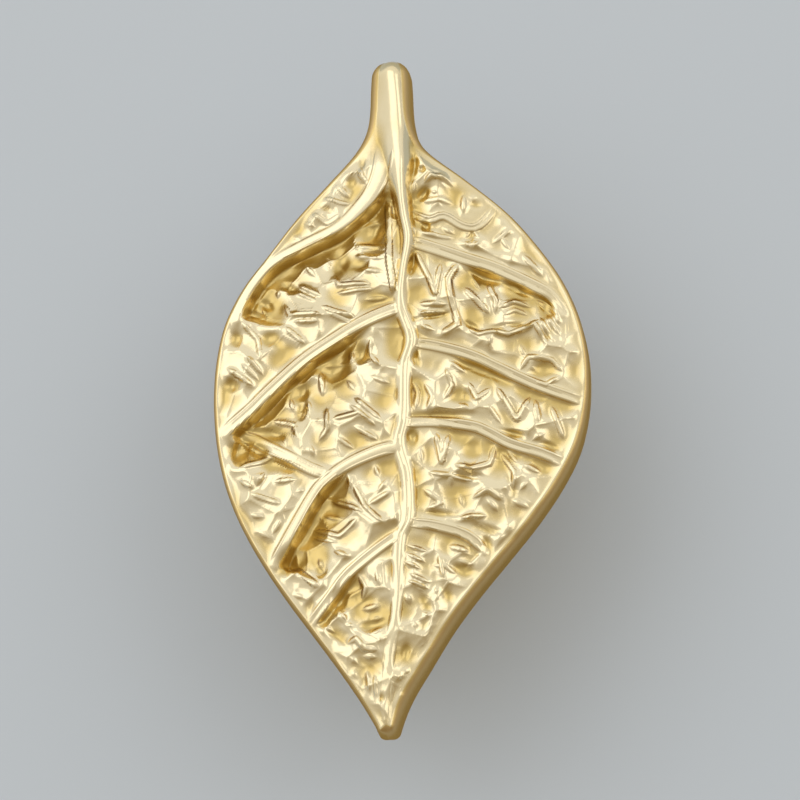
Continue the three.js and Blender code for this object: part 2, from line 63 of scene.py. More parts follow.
# The leaf as drawn: height above the post's axis, left edge, right edge
OUTLINE = [
    (39.0, -3.3, 1.0), (36.0, -3.45, 1.2), (31.0, -3.8, 1.6), (28.0, -5.1, 2.9),
    (24.0, -8.5, 7.7), (20.0, -12.0, 12.3), (16.0, -15.0, 15.7), (12.0, -18.0, 18.4),
    (8.0, -20.0, 20.2), (4.0, -20.95, 21.2), (0.0, -21.3, 21.5), (-4.0, -21.2, 21.2),
    (-8.0, -20.7, 20.2), (-12.0, -19.7, 18.2), (-16.0, -18.1, 15.5), (-20.0, -15.9, 12.3),
    (-24.0, -13.3, 9.0), (-28.0, -10.4, 6.0), (-32.0, -7.5, 3.5), (-36.0, -4.8, 1.1),
    (-39.2, -2.95, -0.2), (-40.3, -2.55, -0.4),
]

# The midrib: height, course, left and right half width, and height of its rounded ridge
MIDRIB = [
    (39.0, -0.9, 2.4, 1.9, 1.2), (35.0, -0.4, 2.7, 1.6, 1.4), (31.0, -0.1, 2.9, 1.7, 1.5),
    (27.0, 0.1, 2.6, 1.5, 1.5), (24.5, 0.1, 1.9, 1.4, 1.4), (22.0, 0.2, 1.2, 1.3, 1.25),
    (20.0, 0.45, 1.1, 1.2, 1.05), (17.2, 0.9, 1.1, 1.1, 0.95), (13.5, 0.35, 1.0, 1.0, 0.85),
    (9.5, 0.1, 1.0, 0.95, 0.75), (5.4, 1.3, 0.95, 0.9, 0.7), (2.5, 0.6, 0.95, 0.9, 0.65),
    (-4.0, 0.4, 0.95, 0.9, 0.6), (-6.8, -0.1, 0.95, 0.9, 0.55), (-10.5, 0.8, 0.95, 0.9, 0.55),
    (-15.6, 0.9, 0.95, 0.9, 0.55), (-17.8, 0.0, 0.9, 0.85, 0.5), (-25.0, -0.3, 0.75, 0.7, 0.45),
    (-31.0, -1.1, 0.7, 0.65, 0.35), (-37.0, -1.7, 0.5, 0.5, 0.15), (-40.3, -1.55, 0.5, 0.5, 0.0),
]

# The lateral veins, left side first. Each is a raised band: its height, its half width where it
# starts and further on, and the depth of the groove along it. On its tipward side the surface
# falls by the drop into a trough of the given reach, which opens between two shares of the
# length. Last comes the course.
VEINS = [
    (0.5, 1.25, 0.6, 0.0, 1.8, 8.0, 0.14, 0.22,
     [(-1.7, 28), (-2.1, 25.5), (-3, 23.2), (-4.4, 21.3), (-7, 18.9), (-10.8, 17), (-14.6, 15),
      (-16.6, 12.9), (-17.9, 10.8), (-18.8, 8.4)]),
    (0.5, 0.75, 0.75, 0.1, 1.7, 8.0, 0.12, 0.36,
     [(-0.1, 9.2), (-3, 8.1), (-5, 7.1), (-7, 5.9), (-11, 3.2), (-15, -0.4), (-17, -2.4), (-20, -5)]),
    (0.5, 0.8, 0.65, 0.0, 1.6, 7.0, 0.25, 0.5,
     [(-0.5, -7.3), (-2.5, -7.7), (-6, -9.2), (-8.7, -11.2), (-10, -12.9), (-12, -16.4), (-14.3, -20.6)]),
    (0.35, 0.6, 0.6, 0.1, 0.8, 6.0, 0.3, 0.6,
     [(-0.2, -17.4), (-3, -19.4), (-6, -22), (-8, -24.7), (-10.2, -27.6)]),
    (0.3, 0.7, 0.7, 0.13, 0.5, 5.0, 0.3, 0.5,
     [(1.1, 17), (4, 16), (7.5, 14.7), (11, 13.4), (15, 11.4), (17.2, 10), (18.6, 8)]),
    (0.3, 0.6, 0.6, 0.15, 0.3, 4.0, 0.1, 0.35,
     [(1.6, 5), (4.5, 4.4), (8, 3.3), (11, 1.8), (15, -0.2), (19, -1.8), (21, -2.5)]),
    (0.3, 0.6, 0.6, 0.15, 0.25, 4.0, 0.1, 0.3,
     [(0.5, -4.4), (4, -4.4), (8, -5), (10, -5.8), (12.5, -7.2), (16, -8.4), (19, -9.8)]),
    (0.28, 0.55, 0.55, 0.12, 0.3, 4.0, 0.1, 0.3, [(1, -16.1), (4, -16.5), (7.5, -17.7), (9.6, -19.6)]),
]
VEINS_ON_THE_LEFT = 4

# A branch of the third vein, and the thin vein above the first one on the right
BRANCHES = [
    (0.4, 0.7, 0.7, 0.0, 0.7, 4.5, 0.1, 0.4,
     [(-8.4, -10.1), (-10, -9.6), (-13, -7.9), (-15.5, -6.4), (-17, -5.5), (-18.8, -5)]),
    (0.22, 0.4, 0.4, 0.1, 0.1, 2.0, 0.05, 0.2,
     [(1.3, 20.4), (3.3, 19.5), (5, 19.9), (7, 18.7), (8.5, 18.4), (9.7, 19.2), (10.9, 20.8)]),
]

# The creases between the veins: height, half width, course
CREASES = [
    # beside the stem and on the left shoulder
    (0.30, 0.50, [(-7.6, 24.2), (-5.6, 22.2)]),
    (0.30, 0.35, [(-9.2, 22.6), (-6.9, 21.8), (-5.4, 21.6)]),
    (0.28, 0.40, [(-10.4, 20.9), (-8.4, 19.4), (-6.2, 20.6)]),
    (0.25, 0.40, [(-11.4, 19.8), (-9.6, 18.9)]),
    (0.22, 0.40, [(-12.9, 18.2), (-11.0, 17.4)]),
    (0.25, 0.45, [(-4.9, 26.6), (-4.4, 24.8), (-3.4, 23.6)]),
    # on the right shoulder
    (0.35, 0.40, [(2.6, 23.7), (3.6, 24.6), (4.8, 24.4), (6.2, 23.3)]),
    (0.35, 0.45, [(7.3, 22.6), (7.2, 19.9)]),
    (0.22, 0.40, [(2.3, 21.7), (4.6, 21.9), (6.3, 21.2)]),
    (0.25, 0.35, [(3.3, 22.9), (4.6, 22.6)]),
    (0.25, 0.40, [(1.6, 24.5), (1.4, 22.2)]),
    (0.30, 0.45, [(13.1, 18.4), (10.4, 16.3)]),
    (0.30, 0.35, [(7.2, 16.9), (8.2, 18.2)]),
    (0.30, 0.35, [(8.2, 18.2), (9.3, 16.9)]),
    (0.28, 0.35, [(9.3, 16.9), (8.2, 15.7)]),
    (0.28, 0.35, [(8.2, 15.7), (7.2, 16.9)]),
    (0.22, 0.35, [(2.1, 18.1), (4.4, 17.5), (6.4, 17.2)]),
    (0.25, 0.40, [(4.6, 18.7), (6.4, 17.6)]),
    (0.28, 0.40, [(11.3, 17.6), (12.6, 15.4)]),
    (0.30, 0.45, [(13.8, 15.2), (16.4, 12.2)]),
    # the pale flank beside the top of the midrib
    (0.55, 1.20, [(-1.5, 22.2), (-1.4, 18.5), (-1.2, 14.5), (-0.6, 10.5)]),
    # between the first and the second vein on the left
    (0.28, 0.40, [(-5.5, 17.0), (-2.5, 16.7), (-1.0, 16.0)]),
    (0.25, 0.35, [(-5.5, 15.8), (-1.5, 15.0)]),
    (0.35, 0.35, [(-7.6, 13.6), (-7.1, 12.2), (-3.3, 12.1)]),
    (0.30, 0.30, [(-7.5, 11.1), (-3.0, 11.5)]),
    (0.32, 0.35, [(-12.0, 12.7), (-8.8, 10.7)]),
    (0.28, 0.30, [(-12.4, 11.9), (-9.2, 10.0)]),
    (0.32, 0.40, [(-9.2, 9.6), (-5.0, 8.0)]),
    (0.25, 0.30, [(-8.6, 8.9), (-5.2, 7.3)]),
    (0.32, 0.35, [(-13.4, 10.4), (-12.7, 8.8), (-8.8, 8.5)]),
    (0.28, 0.30, [(-12.5, 7.9), (-9.0, 7.7)]),
    (0.30, 0.35, [(-14.0, 12.4), (-14.2, 10.8)]),
    (0.35, 0.45, [(-13.3, 7.4), (-10.7, 5.0)]),
    (0.35, 0.40, [(-18.3, 8.1), (-16.3, 6.0), (-15.9, 3.4)]),
    (0.30, 0.35, [(-17.7, 4.1), (-15.5, 1.5)]),
    (0.25, 0.30, [(-18.3, 3.2), (-16.0, 0.9)]),
    (0.35, 0.40, [(-20.0, 2.7), (-16.5, 0.2)]),
    (0.25, 0.35, [(-4.6, 13.9), (-1.6, 13.4)]),
    (0.25, 0.35, [(-4.2, 10.2), (-1.2, 10.4)]),
    (0.25, 0.35, [(-16.0, 10.4), (-15.3, 8.4)]),
    (0.25, 0.35, [(-11.2, 15.0), (-9.6, 13.2)]),
    (0.22, 0.35, [(-8.6, 15.6), (-8.0, 14.0)]),
    # between the second and the third vein on the left
    (0.35, 0.40, [(-5.6, 5.0), (-5.8, 2.7)]),
    (0.38, 0.45, [(-9.2, 2.4), (-8.9, -1.0)]),
    (0.35, 0.40, [(-12.7, -0.6), (-12.2, -2.7)]),
    (0.38, 0.40, [(-14.9, -3.4), (-12.2, -4.1), (-11.6, -6.0)]),
    (0.35, 0.35, [(-8.4, -2.1), (-8.3, -4.9), (-9.4, -6.4)]),
    (0.32, 0.35, [(-5.4, -1.2), (-1.9, -4.2)]),
    (0.28, 0.30, [(-5.9, -2.0), (-2.6, -4.9)]),
    (0.35, 0.35, [(-7.9, -3.8), (-4.0, -3.0)]),
    (0.30, 0.35, [(-5.4, -4.6), (-2.4, -6.5)]),
    (0.30, 0.35, [(-7.4, -5.8), (-5.1, -7.4)]),
    (0.30, 0.35, [(-10.3, -6.4), (-9.7, -8.4)]),
    (0.28, 0.35, [(-3.3, 5.9), (-3.6, 3.9), (-2.1, 2.1)]),
    (0.25, 0.35, [(-3.6, 1.3), (-1.0, 0.2)]),
    (0.25, 0.35, [(-6.3, 1.2), (-5.0, -0.6)]),
    (0.28, 0.35, [(-10.6, -1.0), (-10.2, -3.2)]),
    (0.25, 0.35, [(-13.4, -5.2), (-12.9, -7.0)]),
    # beside the branch of the third vein
    (0.40, 0.45, [(-18.5, -9.3), (-14.5, -7.9)]),
    (0.35, 0.40, [(-18.5, -10.6), (-16.4, -11.9)]),
    (0.35, 0.45, [(-17.1, -12.3), (-13.3, -13.6)]),
    (0.32, 0.40, [(-14.6, -10.9), (-11.6, -10.7)]),
    (0.28, 0.35, [(-15.3, -9.5), (-16.4, -11.6)]),
    (0.25, 0.35, [(-17.4, -14.7), (-15.2, -15.1)]),
    (0.25, 0.35, [(-13.4, -15.2), (-14.6, -17.2)]),
    (0.25, 0.35, [(-12.0, -12.2), (-10.6, -11.9)]),
    (0.22, 0.35, [(-16.4, -16.6), (-14.6, -17.6)]),
    # between the third and the fourth vein on the left
    (0.38, 0.35, [(-5.4, -11.3), (-4.0, -14.0), (-1.7, -16.3)]),
    (0.38, 0.35, [(-8.1, -12.9), (-5.5, -14.0), (-4.1, -14.8)]),
    (0.32, 0.35, [(-3.8, -14.0), (-0.8, -12.3)]),
    (0.35, 0.40, [(-10.1, -16.2), (-7.0, -17.3), (-4.7, -15.3)]),
    (0.28, 0.30, [(-10.2, -17.1), (-7.0, -18.2)]),
    (0.30, 0.35, [(-7.8, -19.0), (-5.5, -20.0)]),
    (0.28, 0.35, [(-6.0, -9.9), (-5.5, -12.1)]),
    (0.40, 0.80, [(-12.2, -20.6), (-9.0, -23.6)]),
    (0.28, 0.35, [(-3.0, -9.0), (-2.3, -11.0)]),
    (0.25, 0.35, [(-9.0, -14.6), (-6.4, -15.4)]),
    (0.28, 0.35, [(-12.6, -24.0), (-10.6, -24.6)]),
    (0.25, 0.35, [(-9.4, -19.6), (-8.6, -21.6)]),
    (0.22, 0.30, [(-2.8, -12.9), (-1.2, -10.6)]),
    # between the first and the second vein on the right
    (0.38, 0.40, [(1.6, 16.0), (3.3, 12.5), (4.0, 10.7), (4.7, 14.5)]),
    (0.42, 0.65, [(6.7, 14.3), (5.5, 12.3), (6.0, 9.5), (6.6, 7.0), (4.5, 5.6)]),
    (0.38, 0.55, [(7.1, 11.5), (10.3, 8.0)]),
    (0.35, 0.40, [(9.8, 12.2), (10.9, 9.6), (10.8, 7.9)]),
    (0.30, 0.30, [(11.0, 8.6), (13.0, 9.6), (15.0, 8.8)]),
    (0.25, 0.30, [(11.4, 7.7), (13.0, 8.6), (14.8, 7.8)]),
    (0.38, 0.35, [(7.4, 6.7), (9.0, 5.7), (10.5, 6.0), (12.3, 5.6), (14.6, 6.4), (16.0, 7.4)]),
    (0.35, 0.40, [(1.9, 9.5), (5.6, 9.3)]),
    (0.25, 0.30, [(1.8, 8.3), (5.5, 8.5)]),
    (0.32, 0.40, [(15.0, 7.4), (17.0, 3.9)]),
    (0.30, 0.35, [(15.7, 7.8), (17.7, 4.3)]),
    (0.28, 0.35, [(16.5, 8.1), (18.3, 5.2)]),
    (0.28, 0.35, [(10.3, 5.7), (10.0, 3.8)]),
    (0.25, 0.35, [(13.5, 4.6), (14.4, 2.6)]),
    (0.30, 0.35, [(15.2, 9.9), (17.6, 8.2), (18.1, 6.4)]),
    (0.25, 0.35, [(2.0, 7.0), (4.2, 6.2)]),
    (0.25, 0.35, [(8.0, 13.0), (9.2, 10.8)]),
    (0.22, 0.30, [(12.2, 11.6), (13.9, 10.6)]),
    # between the second and the third vein on the right
    (0.32, 0.35, [(13.5, 1.2), (14.6, 2.9), (17.2, 2.5), (18.6, 0.9)]),
    (0.26, 0.30, [(18.2, 0.6), (16.6, -0.4), (14.9, 0.3)]),
    (0.28, 0.35, [(5.4, 2.8), (7.6, 1.2)]),
    (0.35, 0.40, [(1.3, 0.6), (2.0, -0.8), (1.7, -3.1)]),
    (0.28, 0.30, [(2.6, 0.4), (3.6, -1.4), (3.0, -3.2)]),
    (0.35, 0.35, [(5.1, 2.0), (5.9, -0.2), (4.9, -2.0)]),
    (0.32, 0.40, [(7.6, 0.4), (8.7, -1.8), (10.5, -0.4)]),
    (0.38, 0.40, [(10.8, -0.3), (13.2, -4.3), (14.9, -1.5)]),
    (0.32, 0.40, [(15.2, -1.8), (15.9, -5.1)]),
    (0.32, 0.40, [(17.0, -2.6), (18.6, -7.0)]),
    (0.28, 0.35, [(9.8, -2.4), (11.6, -5.0)]),
    (0.25, 0.35, [(6.4, -2.2), (8.2, -3.2)]),
    (0.25, 0.35, [(16.6, -6.0), (14.8, -7.0)]),
    # between the third and the fourth vein on the right
    (0.38, 0.45, [(4.0, -5.5), (4.7, -9.0), (5.6, -5.6)]),
    (0.35, 0.45, [(6.0, -9.4), (8.0, -10.1), (10.1, -9.4), (10.8, -7.0)]),
    (0.35, 0.35, [(3.0, -10.3), (5.8, -10.8), (8.4, -11.5)]),
    (0.30, 0.35, [(5.7, -9.6), (5.8, -12.2)]),
    (0.32, 0.35, [(8.0, -13.5), (10.0, -12.7), (11.8, -14.0)]),
    (0.32, 0.35, [(11.2, -8.0), (12.9, -10.5), (12.8, -12.8)]),
    (0.28, 0.30, [(11.9, -7.7), (13.6, -9.8)]),
    (0.32, 0.40, [(13.8, -9.5), (16.2, -10.8)]),
    (0.32, 0.35, [(6.5, -15.7), (10.0, -15.5)]),
    (0.30, 0.40, [(9.6, -13.4), (11.2, -15.2)]),
    (0.30, 0.40, [(12.4, -13.6), (14.8, -14.9)]),
    (0.25, 0.35, [(2.2, -7.0), (2.6, -9.4)]),
    (0.25, 0.35, [(2.4, -12.0), (4.6, -13.8), (2.9, -14.6)]),
    (0.25, 0.35, [(6.6, -12.6), (7.2, -14.6)]),
    (0.25, 0.35, [(14.6, -11.6), (13.4, -12.8)]),
    # below the fourth vein on the right
    (0.30, 0.28, [(0.5, -18.6), (3.4, -19.6)]),
    (0.30, 0.28, [(0.4, -19.5), (3.0, -20.8)]),
    (0.28, 0.28, [(0.3, -20.5), (2.6, -21.6)]),
    (0.30, 0.30, [(0.8, -21.9), (3.6, -23.2)]),
    (0.28, 0.28, [(0.6, -22.7), (3.4, -23.9)]),
    (0.35, 0.35, [(4.3, -19.6), (5.0, -22.9)]),
    (0.30, 0.35, [(3.5, -21.0), (5.2, -21.3), (6.6, -22.3)]),
    (0.35, 0.50, [(5.2, -18.8), (8.0, -19.6)]),
    (0.28, 0.35, [(4.0, -23.3), (4.2, -24.8)]),
    (0.32, 0.55, [(0.6, -24.0), (1.2, -25.8)]),
    (0.25, 0.35, [(1.5, -27.2), (1.9, -28.7)]),
    (0.25, 0.35, [(2.4, -26.4), (3.6, -27.2)]),
    (0.28, 0.45, [(2.3, -30.0), (2.8, -30.6)]),
    (0.25, 0.40, [(1.8, -31.2), (2.1, -31.9)]),
    (0.28, 0.45, [(0.5, -32.6), (1.3, -34.0)]),
    (0.32, 0.50, [(-0.4, -33.6), (0.3, -34.5)]),
    (0.20, 0.35, [(6.4, -20.6), (8.6, -21.2)]),
    # below the fourth vein on the left
    (0.30, 0.35, [(-4.9, -21.6), (-4.0, -23.4), (-4.4, -25.0)]),
    (0.30, 0.35, [(-6.8, -26.0), (-5.9, -27.5)]),
    (0.30, 0.50, [(-4.6, -25.9), (-2.1, -25.5)]),
    (0.28, 0.45, [(-6.4, -27.9), (-5.0, -27.6)]),
    (0.30, 0.40, [(-3.6, -29.0), (-1.7, -28.0)]),
    (0.30, 0.40, [(-6.2, -30.0), (-5.0, -29.4), (-4.0, -30.6), (-2.2, -30.8)]),
    (0.28, 0.40, [(-4.4, -31.4), (-2.4, -31.6)]),
    (0.25, 0.40, [(-6.0, -31.3), (-4.6, -32.4)]),
    (0.35, 0.70, [(-5.9, -32.9), (-4.8, -34.2)]),
    (0.25, 0.30, [(-3.8, -32.8), (-3.4, -35.8)]),
    (0.22, 0.28, [(-2.9, -33.4), (-2.7, -36.6)]),
    (0.22, 0.28, [(-0.8, -34.6), (-1.0, -37.2)]),
    (0.28, 0.45, [(-1.9, -38.2), (-1.6, -39.4)]),
    (0.25, 0.35, [(-2.8, -21.4), (-2.2, -23.6)]),
    (0.22, 0.35, [(-3.6, -27.2), (-1.8, -26.9)]),
    (0.22, 0.35, [(-8.9, -27.7), (-7.2, -28.6)]),
]

# Hollows: centre, half length, half width, lean of the long side from the X axis, depth
HOLLOWS = [
    (-14.5, 6.0, 1.2, 1.0, 0, 0.55), (-18.8, 6.0, 0.8, 0.9, 0, 0.4), (-19.0, 0.8, 1.0, 0.9, 30, 0.7),
    (-7.0, 15.0, 1.4, 0.8, 80, 0.45), (-4.5, 14.5, 0.9, 0.6, 0, 0.3), (-2.8, 18.8, 1.3, 0.8, 70, 0.5),
    (-12.8, 12.2, 0.9, 0.5, -35, 0.45), (-15.5, 10.3, 0.8, 0.5, -40, 0.45),
    (-7.5, 2.0, 1.6, 1.2, 75, 0.6), (-4.4, 4.0, 1.0, 0.7, 60, 0.45), (-11.3, 0.0, 1.0, 0.8, 70, 0.5),
    (-11.4, -2.6, 0.9, 0.6, 80, 0.4), (-14.4, -4.9, 1.1, 0.6, -20, 0.5),
    (-18.3, -7.0, 1.6, 1.3, 60, 0.8), (-16.3, -6.9, 1.2, 0.7, -10, 0.5),
    (-15.6, -10.7, 1.2, 0.5, 60, 0.35), (-13.2, -20.6, 1.7, 0.8, 75, 0.7),
    (-9.0, -21.4, 0.9, 0.6, 60, 0.35), (-10.3, -25.5, 0.9, 0.5, 60, 0.35),
    (-6.9, -24.8, 1.3, 0.8, 70, 0.6), (-3.0, -27.8, 1.5, 0.7, 10, 0.35), (-8.1, -29.2, 1.3, 0.5, -60, 0.3),
    (-8.4, 21.1, 1.1, 0.45, -15, 0.45), (-5.6, 24.5, 0.9, 0.6, 70, 0.4), (-4.5, 26.3, 0.8, 0.4, 70, 0.35),
    (1.7, 26.3, 1.1, 0.4, 85, 0.5), (2.5, 25.5, 0.4, 0.35, 0, 0.35), (4.3, 24.9, 0.5, 0.3, 0, 0.4),
    (5.3, 23.9, 0.6, 0.3, -40, 0.35), (2.6, 22.6, 0.9, 0.5, 50, 0.55), (2.9, 18.8, 0.5, 0.6, 0, 0.5),
    (8.8, 21.3, 0.9, 0.5, 0, 0.3), (8.1, 17.0, 0.7, 0.9, 0, 0.3),
    (9.6, 12.7, 1.6, 0.6, -25, 0.55), (13.6, 11.0, 1.4, 0.45, -25, 0.5), (16.5, 9.3, 1.2, 0.7, -30, 0.5),
    (1.3, 14.3, 1.3, 0.5, 80, 0.5), (1.6, 3.3, 1.2, 0.5, -70, 0.5), (9.6, 1.4, 2.8, 0.6, -22, 0.4),
    (8.2, 6.7, 1.0, 0.35, -35, 0.4), (12.0, 6.6, 2.2, 0.35, 8, 0.4), (3.6, 8.0, 1.8, 0.3, 10, 0.35),
    (16.6, 5.2, 1.0, 0.6, 60, 0.4), (16.0, 1.3, 1.2, 0.9, 0, 0.35),
    (4.4, -3.6, 3.2, 0.5, 0, 0.35), (7.0, -1.6, 1.4, 1.1, 0, 0.35), (1.4, -6.1, 0.6, 0.8, 0, 0.45),
    (13.0, -6.0, 1.1, 0.4, -15, 0.35), (17.0, -7.6, 1.1, 0.4, -25, 0.35),
    (7.9, -8.0, 1.6, 1.3, 0, 0.35), (8.0, -10.9, 1.8, 0.35, -8, 0.35), (12.6, -12.0, 1.2, 0.5, -75, 0.4),
    (4.6, -15.1, 2.0, 0.4, -8, 0.4), (10.2, -17.2, 2.2, 0.5, -22, 0.4), (9.9, -18.9, 1.0, 0.5, -70, 0.4),
    (7.3, -21.8, 1.8, 0.7, -15, 0.35), (3.1, -25.3, 1.4, 0.8, -70, 0.35), (5.3, -24.3, 1.1, 0.6, -70, 0.3),
    (2.9, -28.3, 1.2, 0.8, 80, 0.3), (0.6, -31.0, 0.9, 0.5, 80, 0.3),
    (-2.0, -36.3, 0.5, 0.3, 80, 0.35), (-4.2, -35.0, 1.0, 0.4, 80, 0.25),
]

leaf_low, leaf_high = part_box("leaf_casting")
DRAWN_LEFT = min(row[1] for row in OUTLINE)
DRAWN_RIGHT = max(row[2] for row in OUTLINE)
STEM_TOP = OUTLINE[0][0]
TIP_BOTTOM = OUTLINE[-1][0]
TIP_ROUNDING = 0.25
TIP_END = TIP_BOTTOM - TIP_ROUNDING
ACROSS_SCALE = (leaf_high[0] - leaf_low[0]) / MM / (DRAWN_RIGHT - DRAWN_LEFT)
ALONG_SCALE = (leaf_high[2] - leaf_low[2]) / MM / (STEM_TOP - TIP_BOTTOM + TIP_ROUNDING)

# The section of the blade and the bar of the stem. Each rounded edge has an inset and a depth.
RIM_REACH = 22.5
RIM_THICKNESS = 4.1
CROWN_RISE = 0.9
TIP_DROP = 1.1
TIP_BEND_LENGTH = 26
RIM_FRONT = (0.45, 0.55)
RIM_BACK = (0.9, 1.0)
# The right side wall leans back more and more towards the tip, between these heights and by this
# much. Over the last length before the tip only this share of it is left.
LEAN_START = 6.0
LEAN_END = -20.0
LEAN_WIDTH = 0.65
LEAN_AT_TIP = 0.45
LEAN_TIP_LENGTH = 4
STEM_FRONT = (1.0, 1.2)
STEM_BACK = (1.0, 1.4)
CORNER_LIMIT = 0.22
STEM_END_LENGTH = 2.2
TIP_END_LENGTH = 1.4
STEM_FOOT = 31
SHOULDER = 25
# The back is a shallow dish that fades towards the tip, between these distances from its end.
BACK_HOLLOW = 0.9
DISH_ENDS = 2
DISH_FULL = 16

# The relief
BEAD_HEIGHT = 0.22
BEAD_HALF_WIDTH = 0.45
BEAD_FROM_EDGE = 0.35
GROOVE_DEPTH = 0.15
GROOVE_HALF_WIDTH = 0.2
CLIFF_START = -0.35
CLIFF_END = 0.5
SWELL_SCALE = 0.8
SWELL_SPREAD = 1.15
HOLLOW_SCALE = 0.9
# The relief is drawn as it shows from a little below and from the right: each millimetre of
# height shifts the drawing by this much.
DRAWN_SHIFT = (0.105, 0.275)
MEAN_RELIEF = 0.3

# The facets between the creases: spacing, hollowness, spread of their slopes, and common lean. A
# facet counts within the window, given in spacings, and the small ones gain between the heights.
LARGE_FACETS = (3.2, 0.075, 0.11, (0.02, -0.03))
SMALL_FACETS = (1.5, 0.07, 0.05, (0.0, 0.0))
FACET_WINDOW = 3.6
LARGE_FACETS_SHARE = 1.1
SMALL_FACETS_SHARE = 0.6
SMALL_FACETS_AT_TIP = 1.05
SMALL_FACETS_GAIN = (-13, -21)

# The sharp lines that stand on the relief, in layers within which they keep the gap
LAYERS = 6
FOLD_REACH = 0.5
LAYER_GAP = 3 * FOLD_REACH
FOLD_SCALE = 0.4
SLIMMER = 0.8
BAND_EDGE = 0.8
BAND_LINE_HEIGHT = 0.2
BAND_LINE_HALF_WIDTH = 0.16
RIDGE_LINE_HEIGHT = 0.06
RIDGE_LINE_HALF_WIDTH = 0.17

# The post
POST_FACE_RADIUS = 6.0
POST_FACE_EDGE = 0.4
POST_FOOT_LENGTH = 2.4
POST_WAIST_RADIUS = 5.0
FLARE_RADIUS = 3.4
FLARE_ANGLE = math.radians(72)
POST_ROOT = 1.1
POST_ROOT_MARGIN = 0.6
HOLE_RADIUS = 1.65
THREAD_RADIUS = 2.0
THREAD_PITCH = 0.7
HOLE_DEPTH = 12.0
HOLE_MOUTH = 0.5
DRILL_POINT = 1.0

# How finely the casting is divided
SIDE_COLUMNS = 86
BACK_COLUMNS = 14
CORNER_STEPS = 4
ROW_STEP = 0.205
STEM_END_ROWS = 9
TIP_END_ROWS = 10
POST_SEGMENTS = 64
FLARE_STEPS = 10
THREAD_STEPS = 6
# The columns crowd towards the midrib and the margins by this share.
COLUMN_CROWDING = 0.35

# The finish: the casting's grain, patches of slightly different tint, and the value of the
# attribute "hollow" where the metal is left as cast and given a deeper colour as painted shade
GRAIN_SIZE = 0.6
GRAIN_HEIGHT = 0.03
TINT_PATCH = 9
UNPOLISHED_PAINTED_SHADE = 2.0
# The front's hollows, which get painted shade and a duller finish, are told by how deep they lie below the
# smoothed front.
SMOOTHING_PASSES = 160
PAINTED_SHADE_START = 0.03
PAINTED_SHADE_DEPTH = 0.28

# The wall's half side, and how far behind the mounting face it stands
WALL_HALF = 900
WALL_GAP = 0.3

SEED = 11


def mix(a, b, share):
    return a + (b - a) * share


def eased(low, high, value):
    share = np.clip((value - low) / (high - low), 0.0, 1.0)
    return share * share * (3 - 2 * share)


def read_table(rows, column, keys):
    """A smooth curve through rows, read at each of the keys, which are in the first column."""
    table = np.array(rows, dtype=float)
    if table[0, 0] > table[-1, 0]:
        table = table[::-1]
    place, value = table[:, 0], table[:, column]
    slope = np.empty(len(place))
    slope[1:-1] = (value[2:] - value[:-2]) / (place[2:] - place[:-2])
    slope[0] = (value[1] - value[0]) / (place[1] - place[0])
    slope[-1] = (value[-1] - value[-2]) / (place[-1] - place[-2])
    i = np.clip(np.searchsorted(place, keys) - 1, 0, len(place) - 2)
    span = place[i + 1] - place[i]
    t = np.clip((keys - place[i]) / span, 0.0, 1.0)
    towards = mix(value[i], value[i + 1], t * t * (3 - 2 * t))
    leaving = t * (1 - t) ** 2 * span * slope[i]
    reaching = t * t * (t - 1) * span * slope[i + 1]
    return towards + leaving + reaching


def left_edge(z):
    return read_table(OUTLINE, 1, z)


def right_edge(z):
    return read_table(OUTLINE, 2, z)


def wall_lean(z):
    """How far the right side wall leans in over its height."""
    near_tip = mix(LEAN_AT_TIP, 1.0, eased(TIP_BOTTOM, TIP_BOTTOM + LEAN_TIP_LENGTH, z))
    return LEAN_WIDTH * (1 - eased(LEAN_END, LEAN_START, z)) * near_tip


def midrib_x(z):
    return read_table(MIDRIB, 1, z)


def margin_share(x, z):
    """How far out a place lies, from 0 at the midrib to 1 at the margin."""
    rib = midrib_x(z)
    return np.where(x < rib, (rib - x) / (rib - left_edge(z)), (x - rib) / (right_edge(z) - rib))


def smooth_course(points, step=0.5):
    """A smooth line through the points, as short straight pieces."""
    p = np.array([points[0], *points, points[-1]], dtype=float)
    line = [p[1]]
    for i in range(1, len(p) - 2):
        pieces = max(2, int(np.linalg.norm(p[i + 1] - p[i]) / step))
        for k in range(1, pieces + 1):
            t = k / pieces
            a, b = (p[i + 1] - p[i - 1]) / 2, (p[i + 2] - p[i]) / 2
            h = t * t * (3 - 2 * t)
            line.append(mix(p[i], p[i + 1], h) + a * t * (1 - t) ** 2 + b * t * t * (t - 1))
    return np.array(line)


def nearest_on(line, x, z):
    """Distance to a line, less than nothing on its right hand, and how far along it is."""
    distance = np.full(x.shape, np.inf)
    hand = np.ones(x.shape)
    along = np.zeros(x.shape)
    length = 0.0
    for a, b in zip(line[:-1], line[1:]):
        d = b - a
        size = math.hypot(*d)
        px, pz = x - a[0], z - a[1]
        t = np.clip((px * d[0] + pz * d[1]) / size**2, 0.0, 1.0)
        off = np.hypot(px - t * d[0], pz - t * d[1])
        closer = off < distance
        distance = np.where(closer, off, distance)
        hand = np.where(closer, np.where(d[0] * pz - d[1] * px < 0, -1.0, 1.0), hand)
        along = np.where(closer, length + t * size, along)
        length += size
    return distance, hand, along, length


def ridge(distance, half_width):
    return 1 / (1 + (distance / half_width) ** 2) ** 1.5


def flat_ridge(distance, half_width):
    return 1 / (1 + (distance / half_width) ** 4)


def bend(z):
    """How far the tip bends back towards the wall."""
    share = np.clip((TIP_BOTTOM + TIP_BEND_LENGTH - z) / TIP_BEND_LENGTH, 0.0, 1.0)
    return -TIP_DROP * share**2


def from_margin(x, z):
    """The distance to the nearer edge of the front."""
    probe = 0.5
    distances = []
    for edge in (left_edge, lambda place: right_edge(place) - wall_lean(place)):
        slant = (edge(z + probe) - edge(z - probe)) / (2 * probe)
        distances.append(np.abs(edge(z) - x) / np.hypot(1, slant))
    return np.minimum(*distances)


